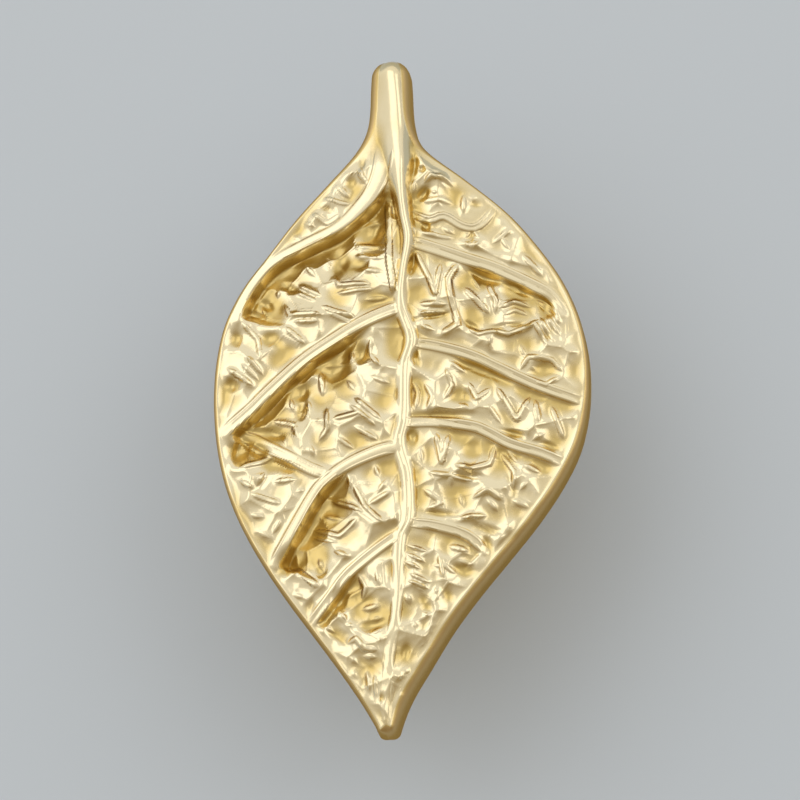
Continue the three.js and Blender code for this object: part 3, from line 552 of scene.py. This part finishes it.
def midrib_height(x, z):
    offset = x - midrib_x(z)
    half_width = np.where(offset < 0, read_table(MIDRIB, 2, z), read_table(MIDRIB, 3, z))
    height = read_table(MIDRIB, 4, z)
    share = np.clip(np.abs(offset) / half_width, 0.0, 1.0)
    roundness = mix(0.7, 1.5, eased(7, 12, z))
    groove = GROOVE_DEPTH * (1 - eased(7, 12, z)) * eased(-24, -18, z) * ridge(offset, GROOVE_HALF_WIDTH)
    return height * np.clip(np.cos(share * math.pi / 2), 0.0, 1.0) ** roundness - groove


def vein_relief(x, z):
    """The veins' raised bands, the troughs beside them, and the distance to the nearest vein."""
    crest = np.zeros(x.shape)
    trough = np.zeros(x.shape)
    nearest = np.full(x.shape, np.inf)
    for rise, wide, narrow, groove, drop, reach, opens, opened, course in VEINS + BRANCHES:
        line = smooth_course(course)
        distance, _, along, length = nearest_on(line, x, z)
        share = along / length
        band = mix(wide, narrow, eased(0, 0.5, share))
        own = flat_ridge(distance, band) * rise * mix(1.0, 0.75, share)
        own -= groove * ridge(distance, GROOVE_HALF_WIDTH)
        crest = np.maximum(crest, own)
        fall = eased(band + CLIFF_START, band + CLIFF_END, distance)
        floor = 1 - eased(band + CLIFF_END, reach, distance)
        ends = eased(opens, opened, share) * (1 - eased(0.95, 1, share))
        trough = np.maximum(trough, np.where(tipward(x, z, line), drop * fall * floor * ends, 0.0))
        nearest = np.minimum(nearest, distance)
    return crest, trough, nearest


def tipward(x, z, line):
    """Whether a place lies on the tip's side of a vein."""
    order = np.argsort(line[:, 0])
    return z < np.interp(x, line[order, 0], line[order, 1])


def crease_lines():
    """The creases, and the two sharp lines along each vein's band, as fine lines."""
    lines = [(rise, SLIMMER * half_width, np.array(points, dtype=float))
             for rise, half_width, points in CREASES]
    for rise, wide, narrow, groove, drop, reach, opens, opened, course in VEINS + BRANCHES:
        line = smooth_course(course)
        step = np.gradient(line, axis=0)
        square = np.stack([-step[:, 1], step[:, 0]], axis=1) / np.hypot(*step.T)[:, None]
        share = np.linspace(0, 1, len(line))[:, None]
        offset = BAND_EDGE * mix(wide, narrow, eased(0, 0.5, share))
        lines += [(BAND_LINE_HEIGHT, BAND_LINE_HALF_WIDTH, line + side * offset * square) for side in (-1, 1)]
    return lines


def gap_between(line, other):
    """The smallest distance between two lines, measured at their corners."""
    near = nearest_on(other, line[:, 0], line[:, 1])[0].min()
    return min(near, nearest_on(line, other[:, 0], other[:, 1])[0].min())


def layered(lines):
    """Shares the lines out over layers in which they keep clear of each other."""
    layers = [[] for _ in range(LAYERS)]
    for entry in lines:
        room = []
        for layer in layers:
            gaps = [gap_between(entry[2], other[2]) for other in layer]
            room.append(min(gaps, default=np.inf))
        free = [k for k, gap in enumerate(room) if gap > LAYER_GAP]
        layers[free[0] if free else int(np.argmax(room))].append(entry)
    return layers


def around(line, x, z, reach):
    """Which places lie in the box round a line, widened by the reach."""
    inside = (x > line[:, 0].min() - reach) & (x < line[:, 0].max() + reach)
    return inside & (z > line[:, 1].min() - reach) & (z < line[:, 1].max() + reach)


def fold_maps(x, z):
    """For each layer and place: the signed distance to the nearest line, its height and half width."""
    maps = []
    reach = 2 * FOLD_REACH
    for layer in layered(crease_lines()):
        nearest = np.full(x.shape, np.inf)
        fold = np.zeros(x.shape + (3,))
        fold[..., 0] = reach
        fold[..., 2] = 1.0
        for rise, half_width, line in layer:
            inside = around(line, x, z, reach)
            distance, hand, along, length = nearest_on(line, x[inside], z[inside])
            ends = eased(0, 1.2, np.minimum(along, length - along))
            fade = ends * (1 - eased(0.6, 1, distance / FOLD_REACH))
            own = np.stack([distance * hand, rise * fade, half_width * mix(0.15, 1.0, ends)], axis=1)
            closer = distance < nearest[inside]
            fold[inside] = np.where(closer[:, None], own, fold[inside])
            nearest[inside] = np.where(closer, distance, nearest[inside])
        maps.append(fold)
    return maps


def crease_relief(x, z):
    """The broad swell on which each crease stands."""
    height = np.zeros(x.shape)
    for rise, half_width, points in CREASES:
        line = smooth_course(points)
        inside = around(line, x, z, 5 * half_width)
        distance, _, along, length = nearest_on(line, x[inside], z[inside])
        fade = eased(0, 0.9, np.minimum(along, length - along))
        own = SWELL_SCALE * rise * mix(0.2, 1.0, fade) * ridge(distance, SWELL_SPREAD * half_width)
        height[inside] = np.maximum(height[inside], own)
    return height


def hollow_relief(x, z):
    depth = np.zeros(x.shape)
    for cx, cz, long, short, lean, deep in HOLLOWS:
        c, s = math.cos(math.radians(lean)), math.sin(math.radians(lean))
        u = ((x - cx) * c + (z - cz) * s) / long
        v = (-(x - cx) * s + (z - cz) * c) / short
        depth = np.maximum(depth, deep * np.exp(-((u * u + v * v) ** 1.5)))
    return depth


def crumple(x, z, spacing, bowl, slope, lean, seed):
    """Hollow facets like those of a crumpled sheet: their height, and the distance to where they meet."""
    rng = np.random.default_rng(seed)
    gx = np.arange(DRAWN_LEFT - spacing, DRAWN_RIGHT + 2 * spacing, spacing)
    gz = np.arange(TIP_BOTTOM - spacing, STEM_TOP + 2 * spacing, spacing)
    cx, cz = (grid.ravel() for grid in np.meshgrid(gx, gz))
    cx = cx + rng.uniform(-0.45, 0.45, cx.shape) * spacing
    cz = cz + rng.uniform(-0.45, 0.45, cz.shape) * spacing
    tilt_x = lean[0] + rng.normal(0, slope, cx.shape)
    tilt_z = lean[1] + rng.normal(0, slope, cx.shape)
    base = rng.normal(0, slope * spacing * 0.25, cx.shape)
    lowest = np.full(x.shape + (3,), np.inf)
    second = np.full(x.shape + (3,), np.inf)
    window = FACET_WINDOW * spacing
    for i in range(len(cx)):
        near = (np.abs(x - cx[i]) < window) & (np.abs(z - cz[i]) < window)
        if not near.any():
            continue
        px, pz = x[near] - cx[i], z[near] - cz[i]
        height = base[i] + bowl * (px * px + pz * pz) + tilt_x[i] * px + tilt_z[i] * pz
        own = np.stack([height, 2 * bowl * px + tilt_x[i], 2 * bowl * pz + tilt_z[i]], axis=1)
        first, next_up = lowest[near], second[near]
        wins = (height < first[:, 0])[:, None]
        follows = (height < next_up[:, 0])[:, None]
        second[near] = np.where(wins, first, np.where(follows, own, next_up))
        lowest[near] = np.where(wins, own, first)
    slope_step = np.hypot(second[..., 1] - lowest[..., 1], second[..., 2] - lowest[..., 2])
    return lowest[..., 0], (second[..., 0] - lowest[..., 0]) / np.maximum(slope_step, 0.05)


def front_surface(x, z):
    """The height of the front, and the layers of sharp lines that stand on it."""
    blade = 1 - eased(SHOULDER, STEM_FOOT, z)
    inside = np.clip(margin_share(x, z), 0.0, 1.0)
    edge = from_margin(x, z)
    calm = eased(0.5, 2.2, edge)
    crown = CROWN_RISE * (1 - inside * inside) * blade
    lift = (crown + bend(z) + MEAN_RELIEF) * blade
    x, z, real_z = x - DRAWN_SHIFT[0] * lift, z + DRAWN_SHIFT[1] * lift, z
    rib = midrib_height(x, z)
    crest, trough, off_vein = vein_relief(x, z)
    wave = 0.75 + 0.25 * np.sin(z * 0.9 + np.sin(z * 0.37) * 2.1) * np.sin(z * 0.53 + 1.0 + np.sign(x))
    bead = BEAD_HEIGHT * wave * blade * ridge(edge - BEAD_FROM_EDGE, BEAD_HALF_WIDTH)
    vein = crest * mix(0.5, 1.0, calm) * blade
    creases = crease_relief(x, z) * mix(0.3, 1.0, calm) * blade
    quiet = eased(0.5, 1.9, off_vein) * eased(0.5, 1.6, edge) * blade * (1 - np.clip(rib / 0.4, 0, 1))
    large, off_ridge = crumple(x, z, *LARGE_FACETS, SEED)
    small = crumple(x, z, *SMALL_FACETS, SEED + 1)[0]
    small_share = mix(SMALL_FACETS_SHARE, SMALL_FACETS_AT_TIP, eased(*SMALL_FACETS_GAIN, z))
    facets = (LARGE_FACETS_SHARE * large + small_share * small) * quiet
    ridges = np.stack([off_ridge, RIDGE_LINE_HEIGHT * quiet, np.full(x.shape, RIDGE_LINE_HALF_WIDTH)], axis=2)
    folds = fold_maps(x, z)
    for fold in folds:
        fold[..., 1] *= blade * mix(0.3, 1.0, calm)
    folds.append(np.where(np.isfinite(ridges), ridges, 1.0))
    floor = trough * calm * blade * (1 - np.clip(rib / 0.5, 0, 1))
    hollows = HOLLOW_SCALE * hollow_relief(x, z) * mix(0.2, 1.0, calm) * blade
    hollows *= 1 - np.clip(rib / 0.6, 0, 1)
    raised = np.maximum.reduce([rib, vein, bead, creases])
    return bend(real_z) + crown - floor - hollows + raised + facets, folds


# The rows of the casting follow the veins from the midrib to either margin.
def vein_guide(course):
    """Where a vein starts on the midrib, and its course by share of the way to the margin."""
    root = float(min(course[0][1], SHOULDER))
    places = [(float(margin_share(np.array(x), np.array(z))), z) for x, z in course]
    places = [(share, z) for share, z in places if 0.05 < share < 0.9 and z < root + 0.1]
    before, last = places[-2:]
    slope = (last[1] - before[1]) / (last[0] - before[0])
    return root, [(0.0, root), *places, (1.0, last[1] + (1 - last[0]) * slope)]


def guides_of(veins):
    flat = [(z, [(0.0, z), (1.0, z)]) for z in (STEM_TOP, STEM_FOOT, TIP_BOTTOM)]
    return flat[:2] + [vein_guide(course) for *_, course in veins] + flat[2:]


GUIDES = {-1: guides_of(VEINS[:VEINS_ON_THE_LEFT]), 1: guides_of(VEINS[VEINS_ON_THE_LEFT:])}


def row_heights(side, shares, roots):
    """Height of each place, in rows by their height on the midrib and columns by share."""
    guide_roots = np.array([root for root, rows in GUIDES[side]])
    curves = np.array([read_table(rows, 1, shares) for root, rows in GUIDES[side]])
    i = np.clip(np.searchsorted(-guide_roots, -roots, side="right") - 1, 0, len(guide_roots) - 2)
    t = (roots - guide_roots[i]) / (guide_roots[i + 1] - guide_roots[i])
    return mix(curves[i], curves[i + 1], t[:, None])


def stations():
    """Where the rows cross the midrib, and how far each is drawn in where the leaf closes."""
    angles = np.arange(1, STEM_END_ROWS) / STEM_END_ROWS * math.pi / 2
    roots = list(STEM_TOP - STEM_END_LENGTH * (1 - np.cos(angles)))
    scales = list(np.sin(angles))
    stops = {root for side in (-1, 1) for root, rows in GUIDES[side] if root < STEM_TOP}
    stops = [STEM_TOP - STEM_END_LENGTH, *sorted(stops, reverse=True)]
    margin = np.array([1.0])
    for upper, lower in zip(stops[:-1], stops[1:]):
        ends = [row_heights(side, margin, np.array([upper, lower]))[:, 0] for side in (-1, 1)]
        gap = (sum(end[0] - end[1] for end in ends) / 2 + upper - lower) / 2
        count = max(1, round(gap / ROW_STEP))
        roots += [mix(upper, lower, i / count) for i in range(count)]
        scales += [1.0] * count
    roots = [root for root in roots if root > TIP_END + TIP_END_LENGTH]
    scales = scales[:len(roots)]
    angles = np.arange(TIP_END_ROWS) / TIP_END_ROWS * math.pi / 2
    roots += list(TIP_END + TIP_END_LENGTH * (1 - np.sin(angles)))
    scales += list(np.cos(angles))
    return np.array(roots), np.array(scales)


def leaf_rows():
    """The closed rows round the leaf, the height of its front, and the layers of sharp lines."""
    roots, scales = stations()
    stem = eased(SHOULDER, STEM_FOOT, roots)[:, None]
    i = np.arange(1, SIDE_COLUMNS + 1) / SIDE_COLUMNS
    shares = np.concatenate([[0.0], mix(i, (1 - np.cos(math.pi * i)) / 2, COLUMN_CROWDING)])

    def inset_at(inset, z):
        most = (right_edge(z) - left_edge(z)) * CORNER_LIMIT
        return np.minimum(mix(inset, STEM_FRONT[0], stem), most)

    front = {}
    for side in (-1, 1):
        z = row_heights(side, shares, roots)
        inset = inset_at(RIM_FRONT[0], z)
        edge = left_edge(z) + inset if side < 0 else right_edge(z) - inset - wall_lean(z)
        front[side] = (mix(midrib_x(z), edge, shares[None, :]), z)
    x = np.concatenate([front[-1][0][:, :0:-1], front[1][0]], axis=1)
    z = np.concatenate([front[-1][1][:, :0:-1], front[1][1]], axis=1)
    height, folds = front_surface(x, z)

    front_depth = mix(RIM_FRONT[1], STEM_FRONT[1], stem)[:, 0]
    back_depth = mix(RIM_BACK[1], STEM_BACK[1], stem)[:, 0]
    rim = {side: row_heights(side, np.array([1.0]), roots)[:, 0] for side in (-1, 1)}

    def corner(side, z, start_y, end_y, inset, opening):
        """A quarter round between the front or back and the side wall."""
        edge = left_edge(z) if side < 0 else right_edge(z)
        for k in range(1, CORNER_STEPS + 1):
            a = k / CORNER_STEPS * math.pi / 2
            if opening:
                out, down = math.sin(a), 1 - math.cos(a)
            else:
                out, down = math.cos(a), math.sin(a)
            px = edge - side * inset * (1 - out)
            py = mix(start_y, end_y, down)
            yield np.stack([px, py, z], axis=1)

    def edge_front(side):
        z = rim[side]
        column = 0 if side < 0 else -1
        inset = inset_at(RIM_FRONT[0], z[:, None])[:, 0]
        lean = wall_lean(z) if side > 0 else 0.0
        return list(corner(side, z, height[:, column], bend(z) - front_depth - lean, inset + lean, True))

    def edge_back(side):
        z = rim[side]
        inset = inset_at(RIM_BACK[0], z[:, None])[:, 0]
        start = bend(z) + back_depth - RIM_THICKNESS
        first = np.stack([left_edge(z) if side < 0 else right_edge(z), start, z], axis=1)
        return [first, *corner(side, z, start, bend(z) - RIM_THICKNESS, inset, False)]

    ring = list(np.moveaxis(np.stack([x, height, z], axis=2), 1, 0))
    ring += edge_front(1)
    ring += edge_back(1)
    for k in range(1, BACK_COLUMNS):
        share = k / BACK_COLUMNS
        z = mix(rim[1], rim[-1], share)
        inset = inset_at(RIM_BACK[0], z[:, None])[:, 0]
        px = mix(right_edge(z) - inset, left_edge(z) + inset, share)
        hollow = BACK_HOLLOW * (1 - (2 * share - 1) ** 2) * (1 - stem[:, 0])
        hollow *= eased(TIP_BOTTOM + DISH_ENDS, TIP_BOTTOM + DISH_FULL, z)
        ring.append(np.stack([px, bend(z) + hollow - RIM_THICKNESS, z], axis=1))
    ring += edge_back(-1)[::-1]
    ring += edge_front(-1)[::-1]
    rows = np.stack(ring, axis=1)

    core = -RIM_THICKNESS / 2
    middle = ((left_edge(roots) + right_edge(roots)) / 2)[:, None]
    scale = scales[:, None]
    x = (middle + (rows[:, :, 0] - middle) * scale) * ACROSS_SCALE
    y = -(RIM_REACH + core + (rows[:, :, 1] - core) * scale)
    z = rows[:, :, 2] * ALONG_SCALE
    return np.stack([x, y, z], axis=2), height, folds


def leaf_mesh():
    """The closed leaf, the height of its front, and the layers of sharp lines."""
    rows, height, folds = leaf_rows()
    count, size = rows.shape[:2]
    points = rows.reshape(-1, 3)
    r, i = np.meshgrid(np.arange(count - 1), np.arange(size), indexing="ij")
    a = (r * size + i).ravel()
    b = (r * size + (i + 1) % size).ravel()
    c, d = a + size, b + size
    # each field of four corners is cut along its shorter diagonal
    falling = np.linalg.norm(points[a] - points[d], axis=1)
    rising = np.linalg.norm(points[c] - points[b], axis=1)
    shorter = (falling < rising)[:, None]
    upper = np.where(shorter, np.stack([a, c, d], axis=1), np.stack([a, c, b], axis=1))
    lower = np.where(shorter, np.stack([a, d, b], axis=1), np.stack([c, d, b], axis=1))
    faces = np.concatenate([upper, lower]).tolist()
    top = rows[0].mean(axis=0)
    top[2] = STEM_TOP * ALONG_SCALE
    tip = rows[-1].mean(axis=0)
    tip[2] = TIP_END * ALONG_SCALE
    points = np.concatenate([points, [top, tip]])
    last = (count - 1) * size
    for k in range(size):
        after = (k + 1) % size
        faces.append((count * size, k, after))
        faces.append((count * size + 1, last + after, last + k))
    mesh = bpy.data.meshes.new("leaf")
    mesh.from_pydata((points * MM).tolist(), [], faces)
    return mesh, height, folds


def add_attribute(mesh, name, values):
    """Stores a number or a vector for each point of a mesh."""
    kind, field = ("FLOAT", "value") if values.ndim == 1 else ("FLOAT_VECTOR", "vector")
    attribute = mesh.attributes.new(name, kind, "POINT")
    attribute.data.foreach_set(field, values.astype(np.float32).ravel())


def post_mesh():
    """The turned post, with the thread cut in its blind hole."""
    back = RIM_REACH - RIM_THICKNESS + BACK_HOLLOW
    flare_start = back - FLARE_RADIUS * math.sin(FLARE_ANGLE)
    flare_end_radius = POST_WAIST_RADIUS + FLARE_RADIUS * (1 - math.cos(FLARE_ANGLE))
    profile = [(flare_end_radius + POST_ROOT_MARGIN, -(back + POST_ROOT), 0)]
    for i in range(FLARE_STEPS, -1, -1):
        a = i / FLARE_STEPS * FLARE_ANGLE
        profile.append((POST_WAIST_RADIUS + FLARE_RADIUS * (1 - math.cos(a)),
                        -(flare_start + FLARE_RADIUS * math.sin(a)), 0))
    profile += [
        (POST_WAIST_RADIUS, -(POST_FOOT_LENGTH + POST_FACE_RADIUS - POST_WAIST_RADIUS), 0),
        (POST_FACE_RADIUS, -POST_FOOT_LENGTH, 0),
        (POST_FACE_RADIUS, -POST_FACE_EDGE, 0),
        (POST_FACE_RADIUS - POST_FACE_EDGE, 0, 0),
        (HOLE_RADIUS + HOLE_MOUTH, 0, 0),
    ]
    count = int((HOLE_DEPTH - HOLE_MOUTH) / THREAD_PITCH * THREAD_STEPS)
    for i in range(count + 1):
        y = HOLE_MOUTH + i * THREAD_PITCH / THREAD_STEPS
        profile.append((HOLE_RADIUS, -y, eased(0, 2, i) * (1 - eased(count - 3, count, i))))
    profile.append((HOLE_RADIUS, -HOLE_DEPTH, 0))
    angles = np.arange(POST_SEGMENTS) / POST_SEGMENTS * 2 * math.pi
    points = []
    for radius, y, thread in profile:
        phase = (-y / THREAD_PITCH - angles / (2 * math.pi)) % 1.0
        groove = thread * (THREAD_RADIUS - HOLE_RADIUS) * (1 - np.abs(2 * phase - 1))
        points += [((radius + g) * math.cos(a), y, (radius + g) * math.sin(a))
                   for a, g in zip(angles, groove)]
    faces = []
    n = POST_SEGMENTS
    for r in range(len(profile) - 1):
        for k in range(n):
            a, b = r * n + k, r * n + (k + 1) % n
            faces.append((a, b, b + n, a + n))
    points += [(0, profile[0][1], 0), (0, -(HOLE_DEPTH + DRILL_POINT), 0)]
    last = (len(profile) - 1) * n
    for k in range(n):
        after = (k + 1) % n
        faces.append((len(points) - 2, after, k))
        faces.append((len(points) - 1, last + k, last + after))
    mesh = bpy.data.meshes.new("post")
    mesh.from_pydata((np.array(points) * MM).tolist(), [], faces)
    # the post takes the deeper as-cast colour, which is painted shade
    add_attribute(mesh, "hollow", np.full(len(points), UNPOLISHED_PAINTED_SHADE))
    return mesh


def make_object(name, mesh):
    thing = bpy.data.objects.new(name, mesh)
    bpy.context.scene.collection.objects.link(thing)
    return thing


def linear(hex_colour):
    """A colour written in sRGB, as the linear values that a shader takes."""
    parts = [((hex_colour >> shift) & 255) / 255 for shift in (16, 8, 0)]
    return tuple(c / 12.92 if c <= 0.04045 else ((c + 0.055) / 1.055) ** 2.4 for c in parts) + (1.0,)


def add_node(tree, kind, settings=None):
    """Adds a node, sets its properties and inputs, and links those given as sockets."""
    node = tree.nodes.new(kind)
    for key, value in (settings or {}).items():
        if isinstance(key, str) and hasattr(node, key):
            setattr(node, key, value)
        elif isinstance(value, bpy.types.NodeSocket):
            tree.links.new(value, node.inputs[key])
        else:
            node.inputs[key].default_value = value
    return node


def fold_height(tree, k):
    """The height of one layer's sharp lines: flat-topped bars with steep sides."""
    fold = add_node(tree, "ShaderNodeAttribute", {"attribute_name": f"fold_{k}"}).outputs["Vector"]
    part = add_node(tree, "ShaderNodeSeparateXYZ", {0: fold}).outputs
    off = add_node(tree, "ShaderNodeMath", {"operation": "ABSOLUTE", 0: part["X"]})
    ratio = add_node(tree, "ShaderNodeMath", {"operation": "DIVIDE", 0: off.outputs[0], 1: part["Z"]})
    steep = add_node(tree, "ShaderNodeMath", {"operation": "POWER", 0: ratio.outputs[0], 1: 4.0})
    more = add_node(tree, "ShaderNodeMath", {"operation": "ADD", 0: steep.outputs[0], 1: 1.0})
    height = add_node(tree, "ShaderNodeMath", {"operation": "DIVIDE", 0: part["Y"], 1: more.outputs[0]})
    return height.outputs[0]


def brass_with_painted_shade():
    """Cast yellow brass, polished and lacquered in front: a warm and slightly uneven mirror.

    The attribute "hollow" runs from 0 on raised places to 1 in the hollows, which the polishing
    wheel doesn't reach, so they are duller; their browner colour is painted shade. It is 2 on the
    sides, the back and the post, which are left as cast: the same metal without lacquer, in a
    deeper colour that is painted shade.
    """
    material = bpy.data.materials.new("polished_cast_brass_painted_shade")
    material.use_nodes = True
    tree = material.node_tree
    tree.nodes.clear()
    place = add_node(tree, "ShaderNodeTexCoord").outputs["Object"]
    hollow = add_node(tree, "ShaderNodeAttribute", {"attribute_name": "hollow"}).outputs["Fac"]
    grain = add_node(tree, "ShaderNodeTexNoise", {
        "Vector": place, "Scale": 1 / (GRAIN_SIZE * MM), "Detail": 3.0, "Roughness": 0.6})
    cloud = add_node(tree, "ShaderNodeTexNoise", {
        "Vector": place, "Scale": 1 / (TINT_PATCH * MM), "Detail": 2.0})
    tint = add_node(tree, "ShaderNodeMix", {
        "data_type": "RGBA", 0: cloud.outputs["Fac"],
        6: linear(0xF3E5BF), 7: linear(0xEFDEB0)})
    # painted shade: the hollows take a browner colour, by the attribute "hollow"
    painted_hollow_shade = add_node(tree, "ShaderNodeMix", {
        "data_type": "RGBA", 0: hollow, 6: tint.outputs[2], 7: linear(0xD5B96E)})
    # painted shade: where "hollow" is 2, on the sides, back and post, the colour turns deeper
    side = add_node(tree, "ShaderNodeMath", {"operation": "SUBTRACT", 0: hollow, 1: 1.0, "use_clamp": True})
    colour = add_node(tree, "ShaderNodeMix", {
        "data_type": "RGBA", 0: side.outputs[0], 6: painted_hollow_shade.outputs[2], 7: linear(0xCFB27C)})
    lacquer = add_node(tree, "ShaderNodeMath", {"operation": "SUBTRACT", 0: 1.0, 1: side.outputs[0]})
    rough = add_node(tree, "ShaderNodeMapRange", {
        "Value": grain.outputs["Fac"], "From Min": 0.3, "From Max": 0.7, "To Min": 0.16, "To Max": 0.22})
    duller = add_node(tree, "ShaderNodeMath", {
        "operation": "MULTIPLY_ADD", 0: hollow, 1: 0.12, 2: rough.outputs["Result"]})
    bump = add_node(tree, "ShaderNodeBump", {
        "Strength": 0.35, "Distance": GRAIN_HEIGHT * MM, "Height": grain.outputs["Fac"]})
    highest = fold_height(tree, 0)
    for k in range(1, LAYERS + 1):
        highest = add_node(tree, "ShaderNodeMath", {
            "operation": "MAXIMUM", 0: highest, 1: fold_height(tree, k)}).outputs[0]
    creased = add_node(tree, "ShaderNodeBump", {
        "Strength": 1.0, "Distance": FOLD_SCALE * MM, "Height": highest, "Normal": bump.outputs["Normal"]})
    shader = add_node(tree, "ShaderNodeBsdfPrincipled", {
        "Base Color": colour.outputs[2], "Metallic": 1.0, "Roughness": duller.outputs[0],
        "Normal": creased.outputs["Normal"], "Coat Weight": lacquer.outputs[0], "Coat Roughness": 0.12,
        "Specular Tint": colour.outputs[2]})
    add_node(tree, "ShaderNodeOutputMaterial", {"Surface": shader.outputs["BSDF"]})
    return material


def painted_wall():
    """A matt pale grey wall that is seen through from behind."""
    material = bpy.data.materials.new("matt_wall_paint")
    material.use_nodes = True
    tree = material.node_tree
    tree.nodes.clear()
    paint = add_node(tree, "ShaderNodeBsdfDiffuse", {"Color": linear(0xCDD5DD)})
    clear = add_node(tree, "ShaderNodeBsdfTransparent")
    behind = add_node(tree, "ShaderNodeNewGeometry").outputs["Backfacing"]
    both = add_node(tree, "ShaderNodeMixShader", {0: behind, 1: paint.outputs[0], 2: clear.outputs[0]})
    add_node(tree, "ShaderNodeOutputMaterial", {"Surface": both.outputs[0]})
    return material


def build_casting():
    """The leaf and its post, joined into one casting of brass."""
    mesh, height, folds = leaf_mesh()
    count, width = height.shape
    size = (len(mesh.vertices) - 2) // count

    smooth = height.copy()
    for _ in range(SMOOTHING_PASSES):
        padded = np.pad(smooth, 1, mode="edge")
        smooth = (padded[:-2, 1:-1] + padded[2:, 1:-1] + padded[1:-1, :-2] + padded[1:-1, 2:]) / 4
    # The attribute "hollow" marks the front's hollows for painted shade and a duller finish, and the sides,
    # back, post and tip end, left as cast, for a deeper colour that is painted shade.
    hollow = np.full((count, size), UNPOLISHED_PAINTED_SHADE)
    hollow[:, :width] = np.clip((smooth - height + PAINTED_SHADE_START) / PAINTED_SHADE_DEPTH, 0.0, 1.0)
    hollow[2 - TIP_END_ROWS:] = UNPOLISHED_PAINTED_SHADE
    add_attribute(mesh, "hollow", np.concatenate([hollow.ravel(), [0.0, UNPOLISHED_PAINTED_SHADE]]))
    for k, fold in enumerate(folds):
        spread = np.zeros((count * size + 2, 3))
        spread[:, 2] = 1.0
        spread[:-2].reshape(count, size, 3)[:, :width] = fold
        add_attribute(mesh, f"fold_{k}", spread)

    leaf = make_object("leaf_blank", mesh)
    post = make_object("post_blank", post_mesh())
    union = leaf.modifiers.new("union", "BOOLEAN")
    union.operation = "UNION"
    union.solver = "MANIFOLD"
    union.object = post
    depsgraph = bpy.context.evaluated_depsgraph_get()
    joined = bpy.data.meshes.new_from_object(leaf.evaluated_get(depsgraph))
    joined.name = "brass_leaf"
    for blank in (leaf, post):
        bpy.data.objects.remove(blank)
    casting = make_object("brass_leaf", joined)
    joined.shade_smooth()
    joined.set_sharp_from_angle(angle=math.radians(38))
    joined.materials.clear()
    joined.materials.append(brass_with_painted_shade())
    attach(casting, "root")
    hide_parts("leaf_casting")


def build_wall():
    half = WALL_HALF * MM
    back = WALL_GAP * MM
    mesh = bpy.data.meshes.new("wall")
    corners = [(-half, back, -half), (half, back, -half), (half, back, half), (-half, back, half)]
    mesh.from_pydata(corners, [], [(0, 1, 2, 3)])
    mesh.materials.append(painted_wall())
    make_object("wall", mesh)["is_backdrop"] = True


def add_lamp(name, direction, distance, size, radiance, target):
    """A square softbox that shines at the target, with the brightness that its face shows."""
    data = bpy.data.lights.new(name, "AREA")
    data.shape = "SQUARE"
    data.size = size
    data.energy = radiance * math.pi * size * size
    lamp = make_object(name, data)
    away = Vector(direction).normalized()
    lamp.location = target + away * distance
    lamp.rotation_euler = away.to_track_quat("Z", "Y").to_euler()


def light_scene(target):
    """Two softboxes, and a sky that is near white overhead and a warm grey below."""
    add_lamp("left_softbox", (-0.62, -0.9, 0.42), 1.1, 0.95, 0.57, target)
    add_lamp("right_softbox", (0.85, -0.9, 0.3), 1.1, 0.75, 0.64, target)

    world = bpy.data.worlds.new("studio")
    bpy.context.scene.world = world
    world.use_nodes = True
    tree = world.node_tree
    tree.nodes.clear()
    direction = add_node(tree, "ShaderNodeTexCoord").outputs["Generated"]
    facing = add_node(tree, "ShaderNodeVectorMath", {
        "operation": "DOT_PRODUCT", 0: direction, 1: Vector((-0.2, -0.25, 0.95)).normalized()})
    level = add_node(tree, "ShaderNodeMapRange", {
        "interpolation_type": "SMOOTHSTEP", "Value": facing.outputs["Value"],
        "From Min": -1.0, "From Max": 0.9, "To Min": 0.0, "To Max": 1.0})
    tone = add_node(tree, "ShaderNodeMix", {
        "data_type": "RGBA", 0: level.outputs[0], 6: linear(0x9C8B68), 7: linear(0xF4F4F4)})
    shade = add_node(tree, "ShaderNodeBackground", {"Color": tone.outputs[2], "Strength": 1.0})
    add_node(tree, "ShaderNodeOutputWorld", {"Surface": shade.outputs[0]})


def place_camera(target):
    """A long lens, a little below the leaf and to its right."""
    azimuth, elevation = math.radians(6), math.radians(-15.5)
    distance = 0.75
    seen_height = 90.6 * MM
    data = bpy.data.cameras.new("camera")
    data.sensor_width = 36
    data.lens = data.sensor_width * distance / seen_height
    camera = make_object("camera", data)
    back = Vector((math.sin(azimuth) * math.cos(elevation),
                   -math.cos(azimuth) * math.cos(elevation),
                   math.sin(elevation)))
    camera.location = target + back * distance
    camera.rotation_euler = back.to_track_quat("Z", "Y").to_euler()
    bpy.context.scene.camera = camera


build_casting()
build_wall()
leaf_centre = Vector((0, -RIM_REACH * MM, -1.8 * MM))
light_scene(leaf_centre)
place_camera(leaf_centre)
bpy.context.scene.view_settings.view_transform = "Standard"

boxes = {"cad": cad_box, "visual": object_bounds()}
{key: [list(corner) for corner in box] for key, box in boxes.items()}
